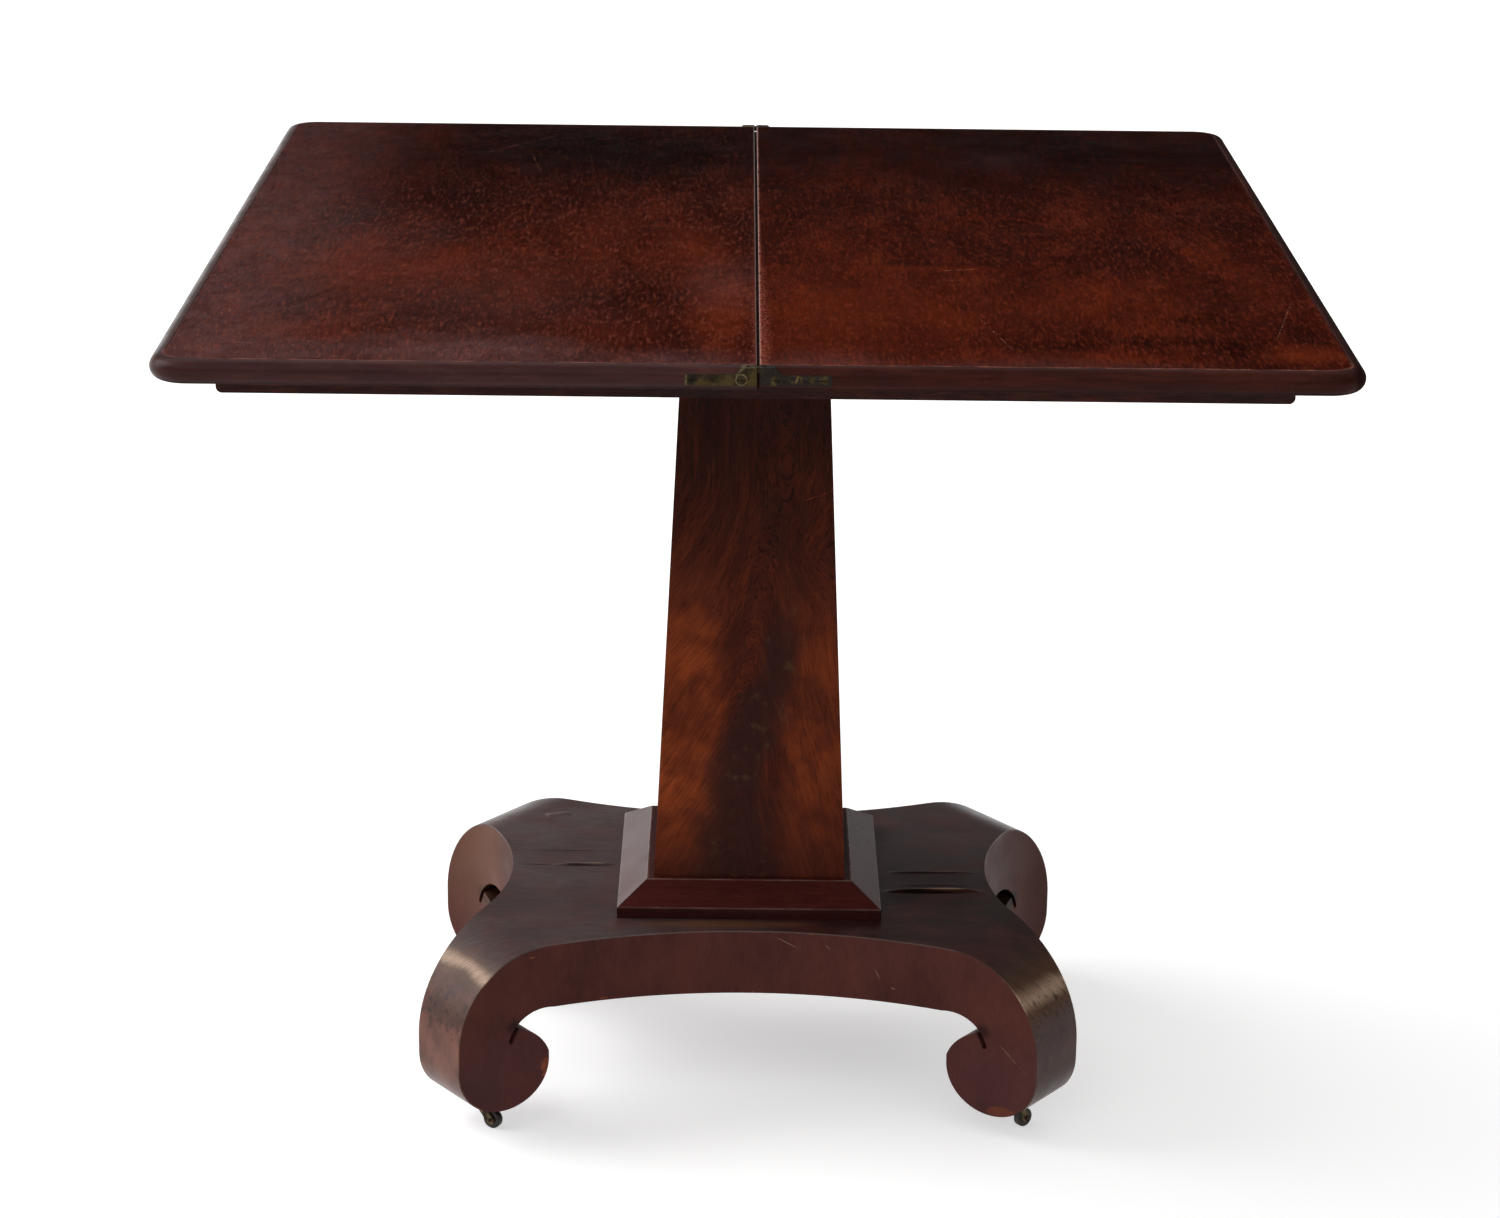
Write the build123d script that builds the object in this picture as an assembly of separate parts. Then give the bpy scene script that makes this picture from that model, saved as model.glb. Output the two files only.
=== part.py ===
from build123d import *
import math
import os

# A games table whose hinged double top turns on its frame, over a tapered column and scroll feet.
# Sizes are in millimetres. The origin is on the floor under the middle of the open top.
# +X runs to the right, -Y to the front and +Z up. The table stands open.

# The two leaves of the top
top_height = 730.0
leaf_length = 914.0
leaf_width = 433.0
leaf_thickness = 18.0
leaf_corner_radius = 28.0
seam_gap = 2.0
seam_arris = 1.0
veneer = 1.2
lipping_width = 10.5
lipping_quirk = 0.5

# The card-table hinges, let into the front and back edges at the seam
hinge_pin_inset = 2.0
hinge_pin_drop = 2.5
hinge_pin_radius = 1.0
hinge_length = 51.0
hinge_head_length = 10.5
hinge_head_depth = 9.0
hinge_strip_depth = 3.0
hinge_strip_drop = 5.2
hinge_strip_height = 8.0
hinge_set_in = 0.3
hinge_link_radius = 2.2
hinge_link_thickness = 3.0
hinge_slot_spare = 0.1
hinge_screw_inner = 10.9
hinge_screw_outer = 45.0
hinge_screw_head_radius = 3.4
hinge_screw_head_depth = 2.2
hinge_screw_shank_radius = 1.6
hinge_screw_length = 17.0

# The frame under the top, with its storage well
closed_overhang = 35.0
frame_height = 77.0
rail_thickness = 22.0
rail_corner_radius = 5.0
rail_housing = 10.0
well_bottom_thickness = 8.0
bearer_width = 150.0
bearer_thickness = 22.0
ledger_width = 16.0
ledger_gap = 30.0
corner_block_leg = 34.0
pivot_rail_width = 90.0
pivot_rail_thickness = 22.0

# The pivot on which the top turns
pivot_plate_side = 76.0
pivot_plate_thickness = 3.0
pivot_screw_spacing = 54.0
pivot_bolt_radius = 5.0
pivot_bolt_head_radius = 9.0
pivot_bolt_head_thickness = 3.0
pivot_bolt_end = 2.0
pivot_washer_radius = 13.0
pivot_washer_thickness = 2.0
pivot_nut_flats = 16.0
pivot_nut_height = 6.5

# The column and the moulding at its foot
column_top_width = 121.0
column_bottom_width = 163.0
column_board = 19.0
column_block_height = 50.0
plinth_width = 221.0
plinth_inner_width = 172.0
plinth_fascia = 9.4
plinth_height = 26.0

# The base: a platform with four hollowed sides and four scroll feet on its diagonals
base_height = 166.0
platform_thickness = 56.0
waist_half_depth = 135.0
waist_half_width = 204.0
foot_turn = 36.87
foot_tip_reach = 318.0
foot_tip_front = 25.5
foot_tip_end = 34.7
foot_joint_setback = 13.7
veneer_joint = 0.3

# The foot's scroll, drawn in the upright plane of its diagonal
scroll_reach = 315.5
scroll_straight = 16.5
foot_clearance = 24.5
lobe_drop = 3.5
veneer_end_angle = -62.0

# The curl, its notch and the arch, as shares of the lobe's radius
curl_straight_share = 0.15
curl_rise_share = 0.58
curl_run_share = 0.634
curl_bulge_share = 0.078
notch_depth_share = 0.305
notch_width_share = 0.112
arch_run_share = 0.976
arch_bulge_share = 0.158

# The casters
caster_flange_radius = 11.0
caster_flange_thickness = 2.0
caster_flange_drop = 0.5
caster_sleeve_radius = 5.0
caster_sleeve_length = 24.0
caster_stem_radius = 3.0
caster_stem_length = 20.0
caster_stem_end_gap = 1.0
caster_fork_radius = 7.5
caster_fork_thickness = 2.2
caster_cheek = 1.4
caster_cheek_radius = 3.8
caster_cheek_top = 9.5
caster_trail = 12.0
caster_wheel_radius = 8.0
caster_wheel_width = 6.4
caster_wheel_round = 1.2
caster_axle_radius = 1.5
caster_axle_end = 0.8

# The larger wood screws
screw_head_radius = 4.8
screw_head_depth = 3.6
screw_shank_radius = 2.3
screw_length = 62.0
base_screw_length = 96.0
plate_screw_length = 13.0
screw_slot_width = 1.0
screw_slot_depth = 0.8

# Clearances
running_fit = 0.05
link_side_gap = 0.3
link_end_gap = 0.4
fork_gap = 0.3
overrun = 5.0

# Levels and places worked out from the sizes above
seam_x = seam_gap / 2
leaf_y = leaf_length / 2
leaf_bottom = top_height - leaf_thickness
frame_half_length = leaf_length / 2 - closed_overhang
frame_half_depth = leaf_width / 2 - closed_overhang
frame_top = leaf_bottom
frame_bottom = frame_top - frame_height
frame_inner_x = frame_half_length - rail_thickness
frame_inner_y = frame_half_depth - rail_thickness
bearer_top = frame_bottom + bearer_thickness
well_floor = bearer_top + well_bottom_thickness
pivot_rail_bottom = frame_top - pivot_rail_thickness
pivot_at = (seam_x + leaf_width / 2) / 2
pin_x = seam_x + hinge_pin_inset
pin_z = top_height - hinge_pin_drop
seam_lip_top = pin_z - hinge_link_radius
link_slot_run = 2 * pin_x * (math.sqrt(2) - 1)
short_reach = hinge_link_radius + link_end_gap
long_reach = short_reach + link_slot_run + hinge_slot_spare
platform_bottom = base_height - platform_thickness
core_top = base_height - veneer
diagonal_x = math.cos(math.radians(foot_turn))
diagonal_y = math.sin(math.radians(foot_turn))
lobe_radius = (platform_bottom - foot_clearance - lobe_drop) / 2
lobe_centre = scroll_reach - lobe_radius
lobe_level = foot_clearance + lobe_radius
scroll_level = lobe_level + scroll_straight
scroll_radius = base_height - scroll_level
scroll_centre = scroll_reach - scroll_radius
curl_foot_reach = lobe_centre - lobe_radius
notch_reach = curl_foot_reach + lobe_radius * (curl_run_share + 2 * notch_width_share)
arch_end_reach = notch_reach - lobe_radius * arch_run_share
foot_joint_reach = min(arch_end_reach, scroll_centre) - foot_joint_setback
caster_flange_bottom = foot_clearance - caster_flange_drop
caster_flange_top = caster_flange_bottom + caster_flange_thickness
caster_side = (foot_tip_front - foot_tip_end) / 2
caster_headings = {"front_left": -30.0, "front_right": 40.0, "back_left": 160.0, "back_right": 75.0}
corners = {"front_left": (-1, -1), "front_right": (1, -1), "back_left": (-1, 1), "back_right": (1, 1)}

STAND = (Align.CENTER, Align.CENTER, Align.MIN)
ALONG_X = (1, 0, 0)
ALONG_Y = (0, 1, 0)
ALONG_Z = (0, 0, 1)


# Small shapes used all over

def block(x0, x1, y0, y1, z0, z1):
    """A box between two opposite corners."""
    middle = Pos((x0 + x1) / 2, (y0 + y1) / 2, (z0 + z1) / 2)
    return middle * Box(x1 - x0, y1 - y0, z1 - z0)


def disc(x, y, z0, z1, radius):
    """An upright cylinder between two levels."""
    return Pos(x, y, z0) * Cylinder(radius, z1 - z0, align=STAND)


def rod_y(x, z, y0, y1, radius):
    """A cylinder lying from front to back."""
    return Pos(x, y0, z) * Rot(-90, 0, 0) * Cylinder(radius, y1 - y0, align=STAND)


def prism_y(points, y0, y1):
    """An outline of X and Z points, thickened from front to back."""
    outline = Wire.make_polygon([(x, y0, z) for x, z in points], close=True)
    return extrude(Face(outline), amount=y1 - y0, dir=ALONG_Y)


def upright(face, z0, z1):
    """A flat plan shape raised from one level to another."""
    return extrude(Pos(0, 0, z0) * face, amount=z1 - z0, dir=ALONG_Z)


def frustum(bottom, top):
    """A straight-sided solid between two outlines of matching corners."""
    lower = Face(Wire.make_polygon(bottom, close=True))
    upper = Face(Wire.make_polygon(top, close=True))
    return loft([lower, upper], ruled=True)


def front_to_back(shape):
    return mirror(shape, about=Plane.XZ)


def right_to_left(shape):
    return mirror(shape, about=Plane.YZ)


def to_corner(shape, corner):
    """Mirrors a shape made for the back right corner to another corner."""
    side, end = corners[corner]
    moved = shape
    if side < 0:
        moved = right_to_left(moved)
    if end < 0:
        moved = front_to_back(moved)
    return moved


def group(shapes):
    """Separate solids kept in one node."""
    return Compound(children=[solid for shape in shapes for solid in shape.solids()])


def screw_body(head_radius, head_depth, shank_radius, length):
    """A countersunk wood screw, from its head at the origin up into the wood."""
    head = Cone(head_radius, shank_radius, head_depth, align=STAND)
    return head + Cylinder(shank_radius, length, align=STAND)


def slotted(body, head_radius):
    """The same screw with the slot for a driver cut across its head."""
    slot = Pos(0, 0, -overrun) * Box(2 * head_radius + overrun, screw_slot_width,
                                     overrun + screw_slot_depth, align=STAND)
    return body - slot


# The leaves. The lower leaf is the right-hand one, fixed to the pivot, and the upper leaf folds over it.

def leaf_edges(inset):
    """The leaf's outer boundary from the seam round to the seam, moved in by an inset."""
    x1 = seam_x + leaf_width - inset
    y1 = leaf_y - inset
    r = leaf_corner_radius - inset
    return [
        Line((seam_x, -y1), (x1 - r, -y1)),
        CenterArc((x1 - r, r - y1), r, -90, 90),
        Line((x1, r - y1), (x1, y1 - r)),
        CenterArc((x1 - r, y1 - r), r, 0, 90),
        Line((x1 - r, y1), (seam_x, y1)),
    ]


def leaf_plan(inset):
    y1 = leaf_y - inset
    return Face(Wire(leaf_edges(inset) + [Line((seam_x, y1), (seam_x, -y1))]))


def leaf_lipping():
    """The half-round edge moulding on three sides of a leaf, carried round its two corners."""
    r = leaf_thickness / 2
    level = leaf_bottom + r
    path = Pos(0, 0, level) * Wire(leaf_edges(r))
    inner = lipping_width - r
    start = Plane(origin=(seam_x, r - leaf_y, level), x_dir=(0, -1, 0), z_dir=ALONG_X)
    nose = ThreePointArc((0, -r), (r, 0), (0, r))
    back = Polyline((0, r), (-inner, r), (-inner, -r), (0, -r))
    section = Face(Wire([nose] + back.edges()))
    return sweep(start * section, path=path)


def leaf_core(bottom):
    """A leaf's core board, with a lip that shuts the seam against the other leaf's up to the hinge links."""
    lip_y = leaf_y - leaf_thickness / 2
    board = upright(leaf_plan(lipping_width), bottom, top_height - veneer)
    return board + block(0, seam_x, -lip_y, lip_y, bottom, seam_lip_top)


def arris_cutter():
    """What is taken off the leaf's upper edge along the seam to leave it rounded."""
    square = block(seam_x - overrun, seam_x + seam_arris, -leaf_length, leaf_length,
                   top_height - seam_arris, top_height + overrun)
    round_edge = rod_y(seam_x + seam_arris, top_height - seam_arris, -leaf_length, leaf_length, seam_arris)
    return square - round_edge


def hinge_outline(proud):
    """The front hinge plate with its deep head at the seam; proud carries it out past the leaf."""
    face_y = hinge_set_in - leaf_y
    strip_top = top_height - hinge_strip_drop
    strip_low = strip_top - hinge_strip_height
    head_end = seam_x + hinge_head_length
    shoulder = head_end + hinge_strip_drop
    head = [(seam_x, strip_low), (shoulder, strip_low), (shoulder, strip_top),
            (head_end, top_height + proud), (seam_x, top_height + proud)]
    if proud:
        head.insert(3, (head_end, top_height))
    strip_end = seam_x + hinge_length
    strip = [(head_end, strip_low), (strip_end, strip_low), (strip_end, strip_top), (head_end, strip_top)]
    return (prism_y(head, face_y - proud, face_y + hinge_head_depth)
            + prism_y(strip, face_y - proud, face_y + hinge_strip_depth))


def hinge_screw_places():
    face_y = hinge_set_in - leaf_y
    level = top_height - hinge_strip_drop - hinge_strip_height / 2
    return [Pos(seam_x + along, face_y, level) * Rot(-90, 0, 0)
            for along in (hinge_screw_inner, hinge_screw_outer)]


def hinge_screw_bodies():
    body = screw_body(hinge_screw_head_radius, hinge_screw_head_depth,
                      hinge_screw_shank_radius, hinge_screw_length)
    return [place * body for place in hinge_screw_places()]


def hinge_middle():
    """The Y of the middle of the front hinge's head."""
    return hinge_set_in - leaf_y + hinge_head_depth / 2


def hinge_pin():
    half = hinge_head_depth / 2 - hinge_set_in
    middle = hinge_middle()
    return rod_y(pin_x, pin_z, middle - half, middle + half, hinge_pin_radius)


def hinge_plate(reach):
    """The front hinge plate: screw holes, the hole for its pin and a pocket that the link turns in."""
    half_slot = hinge_link_thickness / 2 + link_side_gap
    middle = hinge_middle()
    slot = block(-overrun, pin_x + reach, middle - half_slot, middle + half_slot,
                 pin_z - reach, top_height + overrun)
    plate = hinge_outline(0) - slot - arris_cutter() - hinge_pin()
    for body in hinge_screw_bodies():
        plate = plate - body
    return plate


def hinge_bar(x0, x1, half_thickness, radius):
    """A flat bar with round ends between two places at the pins' level."""
    y0 = hinge_middle() - half_thickness
    y1 = hinge_middle() + half_thickness
    bar = block(x0, x1, y0, y1, pin_z - radius, pin_z + radius)
    return bar + rod_y(x0, pin_z, y0, y1, radius) + rod_y(x1, pin_z, y0, y1, radius)


def hinge_link():
    """The flat link that turns on the lower leaf's pin, with a slot in which the upper leaf's pin slides."""
    half = hinge_link_thickness / 2
    hole_radius = hinge_pin_radius + running_fit
    slot_far = -pin_x - link_slot_run - hinge_slot_spare
    slot_near = -pin_x + hinge_slot_spare
    link = hinge_bar(slot_far, pin_x, half, hinge_link_radius)
    slot = hinge_bar(slot_far, slot_near, half + overrun, hole_radius)
    middle = hinge_middle()
    return link - slot - rod_y(pin_x, pin_z, middle - overrun, middle + overrun, hole_radius)


def both_ends(shape):
    """A piece of the front hinge and its like at the back."""
    return group([shape, front_to_back(shape)])


def pivot_screw_places():
    half = pivot_screw_spacing / 2
    return [Pos(pivot_at + half * i, pivot_at + half * j, leaf_bottom) for i in (-1, 1) for j in (-1, 1)]


def pivot_screw_bodies():
    body = screw_body(hinge_screw_head_radius, hinge_screw_head_depth,
                      hinge_screw_shank_radius, plate_screw_length)
    return [place * body for place in pivot_screw_places()]


def pivot_bolt():
    """The bolt on which the top turns, with a flat head sunk in the leaf above its plate."""
    plate_top = leaf_bottom + pivot_plate_thickness
    low = pivot_rail_bottom - pivot_washer_thickness - pivot_nut_height - pivot_bolt_end
    head = disc(pivot_at, pivot_at, plate_top, plate_top + pivot_bolt_head_thickness, pivot_bolt_head_radius)
    return head + disc(pivot_at, pivot_at, low, plate_top, pivot_bolt_radius)


def pivot_plate_blank():
    half = pivot_plate_side / 2
    return block(pivot_at - half, pivot_at + half, pivot_at - half, pivot_at + half,
                 leaf_bottom, leaf_bottom + pivot_plate_thickness)


def pivot_plate():
    plate = pivot_plate_blank() - pivot_bolt()
    for body in pivot_screw_bodies():
        plate = plate - body
    return plate


def pivot_washer():
    top = pivot_rail_bottom
    low = top - pivot_washer_thickness
    hole = disc(pivot_at, pivot_at, low - overrun, top + overrun, pivot_bolt_radius + running_fit)
    return disc(pivot_at, pivot_at, low, top, pivot_washer_radius) - hole


def pivot_nut():
    top = pivot_rail_bottom - pivot_washer_thickness
    low = top - pivot_nut_height
    hexagon = RegularPolygon(pivot_nut_flats / 2, 6, major_radius=False)
    nut = Pos(pivot_at, pivot_at, 0) * upright(hexagon, low, top)
    return nut - disc(pivot_at, pivot_at, low - overrun, top + overrun, pivot_bolt_radius + running_fit)


def hinge_cuts():
    """The recesses and screw holes of both hinge plates, front and back."""
    cuts = [hinge_outline(overrun)] + hinge_screw_bodies()
    return cuts + [front_to_back(cut) for cut in cuts]


def cut_all(shape, cutters):
    for cutter in cutters:
        shape = shape - cutter
    return shape


def leaf_pieces():
    """The pieces of a leaf as they lie on the right of the seam."""
    hinges = hinge_cuts()
    top_core = top_height - veneer
    return {
        "lipping": cut_all(leaf_lipping(), hinges + [arris_cutter()]),
        "core": cut_all(leaf_core(leaf_bottom), hinges),
        "thin_core": cut_all(leaf_core(leaf_bottom + veneer), hinges),
        "playing_veneer": upright(leaf_plan(lipping_width + lipping_quirk), top_core, top_height)
                          - arris_cutter(),
        "show_veneer": upright(leaf_plan(lipping_width + lipping_quirk), leaf_bottom, leaf_bottom + veneer),
        "hinge_pins": both_ends(hinge_pin()),
        "hinge_screws": hinge_screw_set(),
    }


def hinge_screw_set():
    front = [slotted_at(place, hinge_screw_length) for place in hinge_screw_places()]
    return group(front + [front_to_back(screw) for screw in front])


def slotted_at(place, length):
    body = screw_body(hinge_screw_head_radius, hinge_screw_head_depth, hinge_screw_shank_radius, length)
    return place * slotted(body, hinge_screw_head_radius)


def make_top(parts):
    pieces = leaf_pieces()
    pivot_cuts = [pivot_plate_blank(), pivot_bolt()] + pivot_screw_bodies()
    parts["lower_leaf_core"] = cut_all(pieces["core"], pivot_cuts)
    parts["lower_leaf_playing_veneer"] = pieces["playing_veneer"]
    parts["lower_leaf_edge"] = pieces["lipping"]
    parts["lower_hinge_plates"] = both_ends(hinge_plate(short_reach))
    parts["lower_hinge_pins"] = pieces["hinge_pins"]
    parts["lower_hinge_screws"] = pieces["hinge_screws"]
    parts["upper_leaf_core"] = right_to_left(pieces["thin_core"])
    parts["upper_leaf_playing_veneer"] = right_to_left(pieces["playing_veneer"])
    parts["upper_leaf_show_veneer"] = right_to_left(pieces["show_veneer"])
    parts["upper_leaf_edge"] = right_to_left(pieces["lipping"])
    parts["upper_hinge_plates"] = right_to_left(both_ends(hinge_plate(long_reach)))
    parts["upper_hinge_pins"] = right_to_left(pieces["hinge_pins"])
    parts["upper_hinge_screws"] = right_to_left(pieces["hinge_screws"])
    parts["hinge_links"] = both_ends(hinge_link())
    parts["pivot_plate"] = pivot_plate()
    parts["pivot_bolt"] = pivot_bolt()
    parts["pivot_washer"] = pivot_washer()
    parts["pivot_nut"] = pivot_nut()
    parts["pivot_plate_screws"] = group([slotted_at(place, plate_screw_length)
                                         for place in pivot_screw_places()])


# The frame: four rails round a storage well, a bearer over the column and the rail that holds the pivot

def bearer_blank():
    y = frame_inner_y + rail_housing
    return block(-bearer_width / 2, bearer_width / 2, -y, y, frame_bottom, bearer_top)


def pivot_rail_blank():
    y = frame_inner_y + rail_housing
    half = pivot_rail_width / 2
    return block(pivot_at - half, pivot_at + half, -y, y, pivot_rail_bottom, frame_top)


def front_rail():
    rail = block(-frame_half_length, frame_half_length, -frame_half_depth, -frame_inner_y,
                 frame_bottom, frame_top)
    low_ends = rail.edges().filter_by(Axis.Y).group_by(Axis.Z)[0]
    return fillet(low_ends, rail_corner_radius) - bearer_blank() - pivot_rail_blank()


def right_rail():
    rail = block(frame_inner_x, frame_half_length, -frame_inner_y, frame_inner_y, frame_bottom, frame_top)
    low_outer = rail.edges().filter_by(Axis.Y).group_by(Axis.Z)[0].sort_by(Axis.X)[-1]
    return fillet(low_outer, rail_corner_radius)


def column_screw_spots():
    """Four places round the column's middle, inside its blocks."""
    half = column_top_width / 4
    return [(half * i, half * j) for i in (-1, 1) for j in (-1, 1)]


def top_screws():
    """Screws from the bearer down into the column's upper block."""
    body = screw_body(screw_head_radius, screw_head_depth, screw_shank_radius, screw_length)
    return [Pos(x, y, bearer_top) * Rot(180, 0, 0) * body for x, y in column_screw_spots()]


def base_screws():
    """Screws from under the platform up into the column's lower block."""
    body = screw_body(screw_head_radius, screw_head_depth, screw_shank_radius, base_screw_length)
    return [Pos(x, y, platform_bottom) * body for x, y in column_screw_spots()]


def ledgers():
    """Strips inside the long rails that carry the well's bottom on each side of the bearer."""
    start = bearer_width / 2
    end = frame_inner_x - corner_block_leg
    strip = block(start, end - ledger_gap, frame_inner_y - ledger_width, frame_inner_y,
                  frame_bottom, bearer_top)
    return group([to_corner(strip, corner) for corner in corners])


def corner_blocks():
    """Three-sided glue blocks in the frame's corners, under the well's bottom."""
    x = frame_inner_x
    y = frame_inner_y
    points = [(x, y), (x - corner_block_leg, y), (x, y - corner_block_leg)]
    corner_block = upright(Face(Wire.make_polygon(points, close=True)), frame_bottom, bearer_top)
    return group([to_corner(corner_block, corner) for corner in corners])


def make_frame(parts):
    parts["frame_front_rail"] = front_rail()
    parts["frame_back_rail"] = front_to_back(front_rail())
    parts["frame_right_rail"] = right_rail()
    parts["frame_left_rail"] = right_to_left(right_rail())
    parts["frame_bearer"] = cut_all(bearer_blank(), top_screws())
    hole = disc(pivot_at, pivot_at, pivot_rail_bottom - overrun, frame_top + overrun,
                pivot_bolt_radius + running_fit)
    parts["pivot_rail"] = pivot_rail_blank() - hole
    parts["well_bottom"] = block(-frame_inner_x, frame_inner_x, -frame_inner_y, frame_inner_y,
                                 bearer_top, well_floor)
    parts["well_ledgers"] = ledgers()
    parts["frame_corner_blocks"] = corner_blocks()


# The column: four tapered boards mitred round two blocks

def column_half(level):
    """Half the column's width at a level."""
    share = (level - base_height) / (frame_bottom - base_height)
    return (column_bottom_width + (column_top_width - column_bottom_width) * share) / 2


def column_board_at_front():
    rings = []
    for level in (base_height, frame_bottom):
        outer = column_half(level)
        inner = outer - column_board
        rings.append([(-outer, -outer, level), (outer, -outer, level),
                      (inner, -inner, level), (-inner, -inner, level)])
    return frustum(*rings)


def column_block(low, high):
    rings = []
    for level in (low, high):
        half = column_half(level) - column_board
        rings.append([(-half, -half, level), (half, -half, level), (half, half, level), (-half, half, level)])
    return frustum(*rings)


def plinth_moulding_at_front():
    """One mitred length of the moulding round the column's foot: an upright edge and a wide chamfer."""
    fascia_top = base_height + plinth_fascia
    plinth_top = base_height + plinth_height
    low_inner = column_half(base_height)
    high_inner = column_half(plinth_top)
    outer = plinth_width / 2
    ledge = plinth_inner_width / 2
    section = [(outer, base_height), (outer, fascia_top), (ledge, plinth_top),
               (high_inner, plinth_top), (low_inner, base_height)]
    far = plinth_width
    outline = Wire.make_polygon([(-far, -y, z) for y, z in section], close=True)
    length = extrude(Face(outline), amount=2 * far, dir=ALONG_X)
    mitre = Face(Wire.make_polygon([(0, 0), (-far, -far), (far, -far)], close=True))
    return length & upright(mitre, 0, base_height + plinth_width)


def make_column(parts):
    turns = {"front": 0, "right": 90, "back": 180, "left": 270}
    for side, turn in turns.items():
        parts["column_" + side + "_board"] = Rot(0, 0, turn) * column_board_at_front()
        parts["plinth_" + side + "_moulding"] = Rot(0, 0, turn) * plinth_moulding_at_front()
    upper = column_block(frame_bottom - column_block_height, frame_bottom)
    lower = column_block(base_height, base_height + column_block_height)
    parts["column_top_block"] = cut_all(upper, top_screws())
    parts["column_bottom_block"] = cut_all(lower, base_screws())
    body = screw_body(screw_head_radius, screw_head_depth, screw_shank_radius, screw_length)
    long_body = screw_body(screw_head_radius, screw_head_depth, screw_shank_radius, base_screw_length)
    spots = column_screw_spots()
    parts["column_top_screws"] = group([Pos(x, y, bearer_top) * Rot(180, 0, 0)
                                        * slotted(body, screw_head_radius) for x, y in spots])
    parts["column_bottom_screws"] = group([Pos(x, y, platform_bottom)
                                           * slotted(long_body, screw_head_radius) for x, y in spots])


# The base

def base_plan():
    """The base seen from above: four hollowed sides that meet in four blunt tips."""
    ax = foot_tip_reach * diagonal_x - foot_tip_front * diagonal_y
    ay = foot_tip_reach * diagonal_y + foot_tip_front * diagonal_x
    bx = foot_tip_reach * diagonal_x + foot_tip_end * diagonal_y
    by = foot_tip_reach * diagonal_y - foot_tip_end * diagonal_x
    return Face(Wire([
        ThreePointArc((-ax, -ay), (0, -waist_half_depth), (ax, -ay)),
        Line((ax, -ay), (bx, -by)),
        ThreePointArc((bx, -by), (waist_half_width, 0), (bx, by)),
        Line((bx, by), (ax, ay)),
        ThreePointArc((ax, ay), (0, waist_half_depth), (-ax, ay)),
        Line((-ax, ay), (-bx, by)),
        ThreePointArc((-bx, by), (-waist_half_width, 0), (-bx, -by)),
        Line((-bx, -by), (-ax, -ay)),
    ]))


def within_reach(reach):
    """Everything nearer to the middle than a reach along both diagonals."""
    bar = Box(2 * reach, 2 * foot_tip_reach, 2 * base_height + 2 * overrun)
    return (Rot(0, 0, foot_turn) * bar) & (Rot(0, 0, -foot_turn) * bar)


def diagonal_plane():
    """The upright plane of the back right foot: reach along it, then height."""
    return Plane(origin=(0, 0, 0), x_dir=(diagonal_x, diagonal_y, 0), z_dir=(diagonal_y, -diagonal_x, 0))


def across_foot(outline):
    """A scroll outline carried across the foot and cut to the hollowed sides of the base."""
    bar = extrude(diagonal_plane() * Face(Wire(outline)), amount=foot_tip_reach / 2, both=True)
    return bar & upright(base_plan(), 0, base_height)


def lobe_point(angle, inset):
    r = lobe_radius - inset
    turn = math.radians(angle)
    return (lobe_centre + r * math.cos(turn), lobe_level + r * math.sin(turn))


def scroll_point(angle, inset):
    r = scroll_radius - inset
    turn = math.radians(angle)
    return (scroll_centre + r * math.cos(turn), scroll_level + r * math.sin(turn))


def foot_outline():
    """The wood of the foot: top, outer scroll under its veneer, lobe, curl, notch and arch."""
    top = (scroll_centre, core_top)
    outer_high = scroll_point(0, veneer)
    outer_low = lobe_point(0, veneer)
    veneer_foot = lobe_point(veneer_end_angle, veneer)
    lobe_start = lobe_point(veneer_end_angle, 0)
    lobe_end = (curl_foot_reach, lobe_level)
    curl_bulge = lobe_radius * curl_bulge_share
    notch_width = lobe_radius * notch_width_share
    arch_bulge = lobe_radius * arch_bulge_share
    curl_foot = (curl_foot_reach, lobe_level + lobe_radius * curl_straight_share)
    curl_top = (curl_foot[0] + lobe_radius * curl_run_share, curl_foot[1] + lobe_radius * curl_rise_share)
    curl_middle = ((curl_foot[0] + curl_top[0]) / 2 - curl_bulge,
                   (curl_foot[1] + curl_top[1]) / 2 + curl_bulge)
    half = notch_width / 2
    low = curl_top[1] - lobe_radius * notch_depth_share
    notch_in = (curl_top[0] + notch_width, low + half)
    notch_end = (notch_in[0] + half, low)
    notch_out = (notch_reach, low + half)
    arch_end = (arch_end_reach, platform_bottom)
    arch_middle = ((arch_end[0] + notch_out[0]) / 2 + arch_bulge,
                   (arch_end[1] + notch_out[1]) / 2 + arch_bulge)
    return [
        Line((foot_joint_reach, core_top), top),
        ThreePointArc(top, scroll_point(45, veneer), outer_high),
        Line(outer_high, outer_low),
        ThreePointArc(outer_low, lobe_point(veneer_end_angle / 2, veneer), veneer_foot),
        Line(veneer_foot, lobe_start),
        ThreePointArc(lobe_start, lobe_point(-120, 0), lobe_end),
        Line(lobe_end, curl_foot),
        ThreePointArc(curl_foot, curl_middle, curl_top),
        Line(curl_top, notch_in),
        ThreePointArc(notch_in, notch_end, notch_out),
        ThreePointArc(notch_out, arch_middle, arch_end),
        Line(arch_end, (foot_joint_reach, platform_bottom)),
        Line((foot_joint_reach, platform_bottom), (foot_joint_reach, core_top)),
    ]


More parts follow.
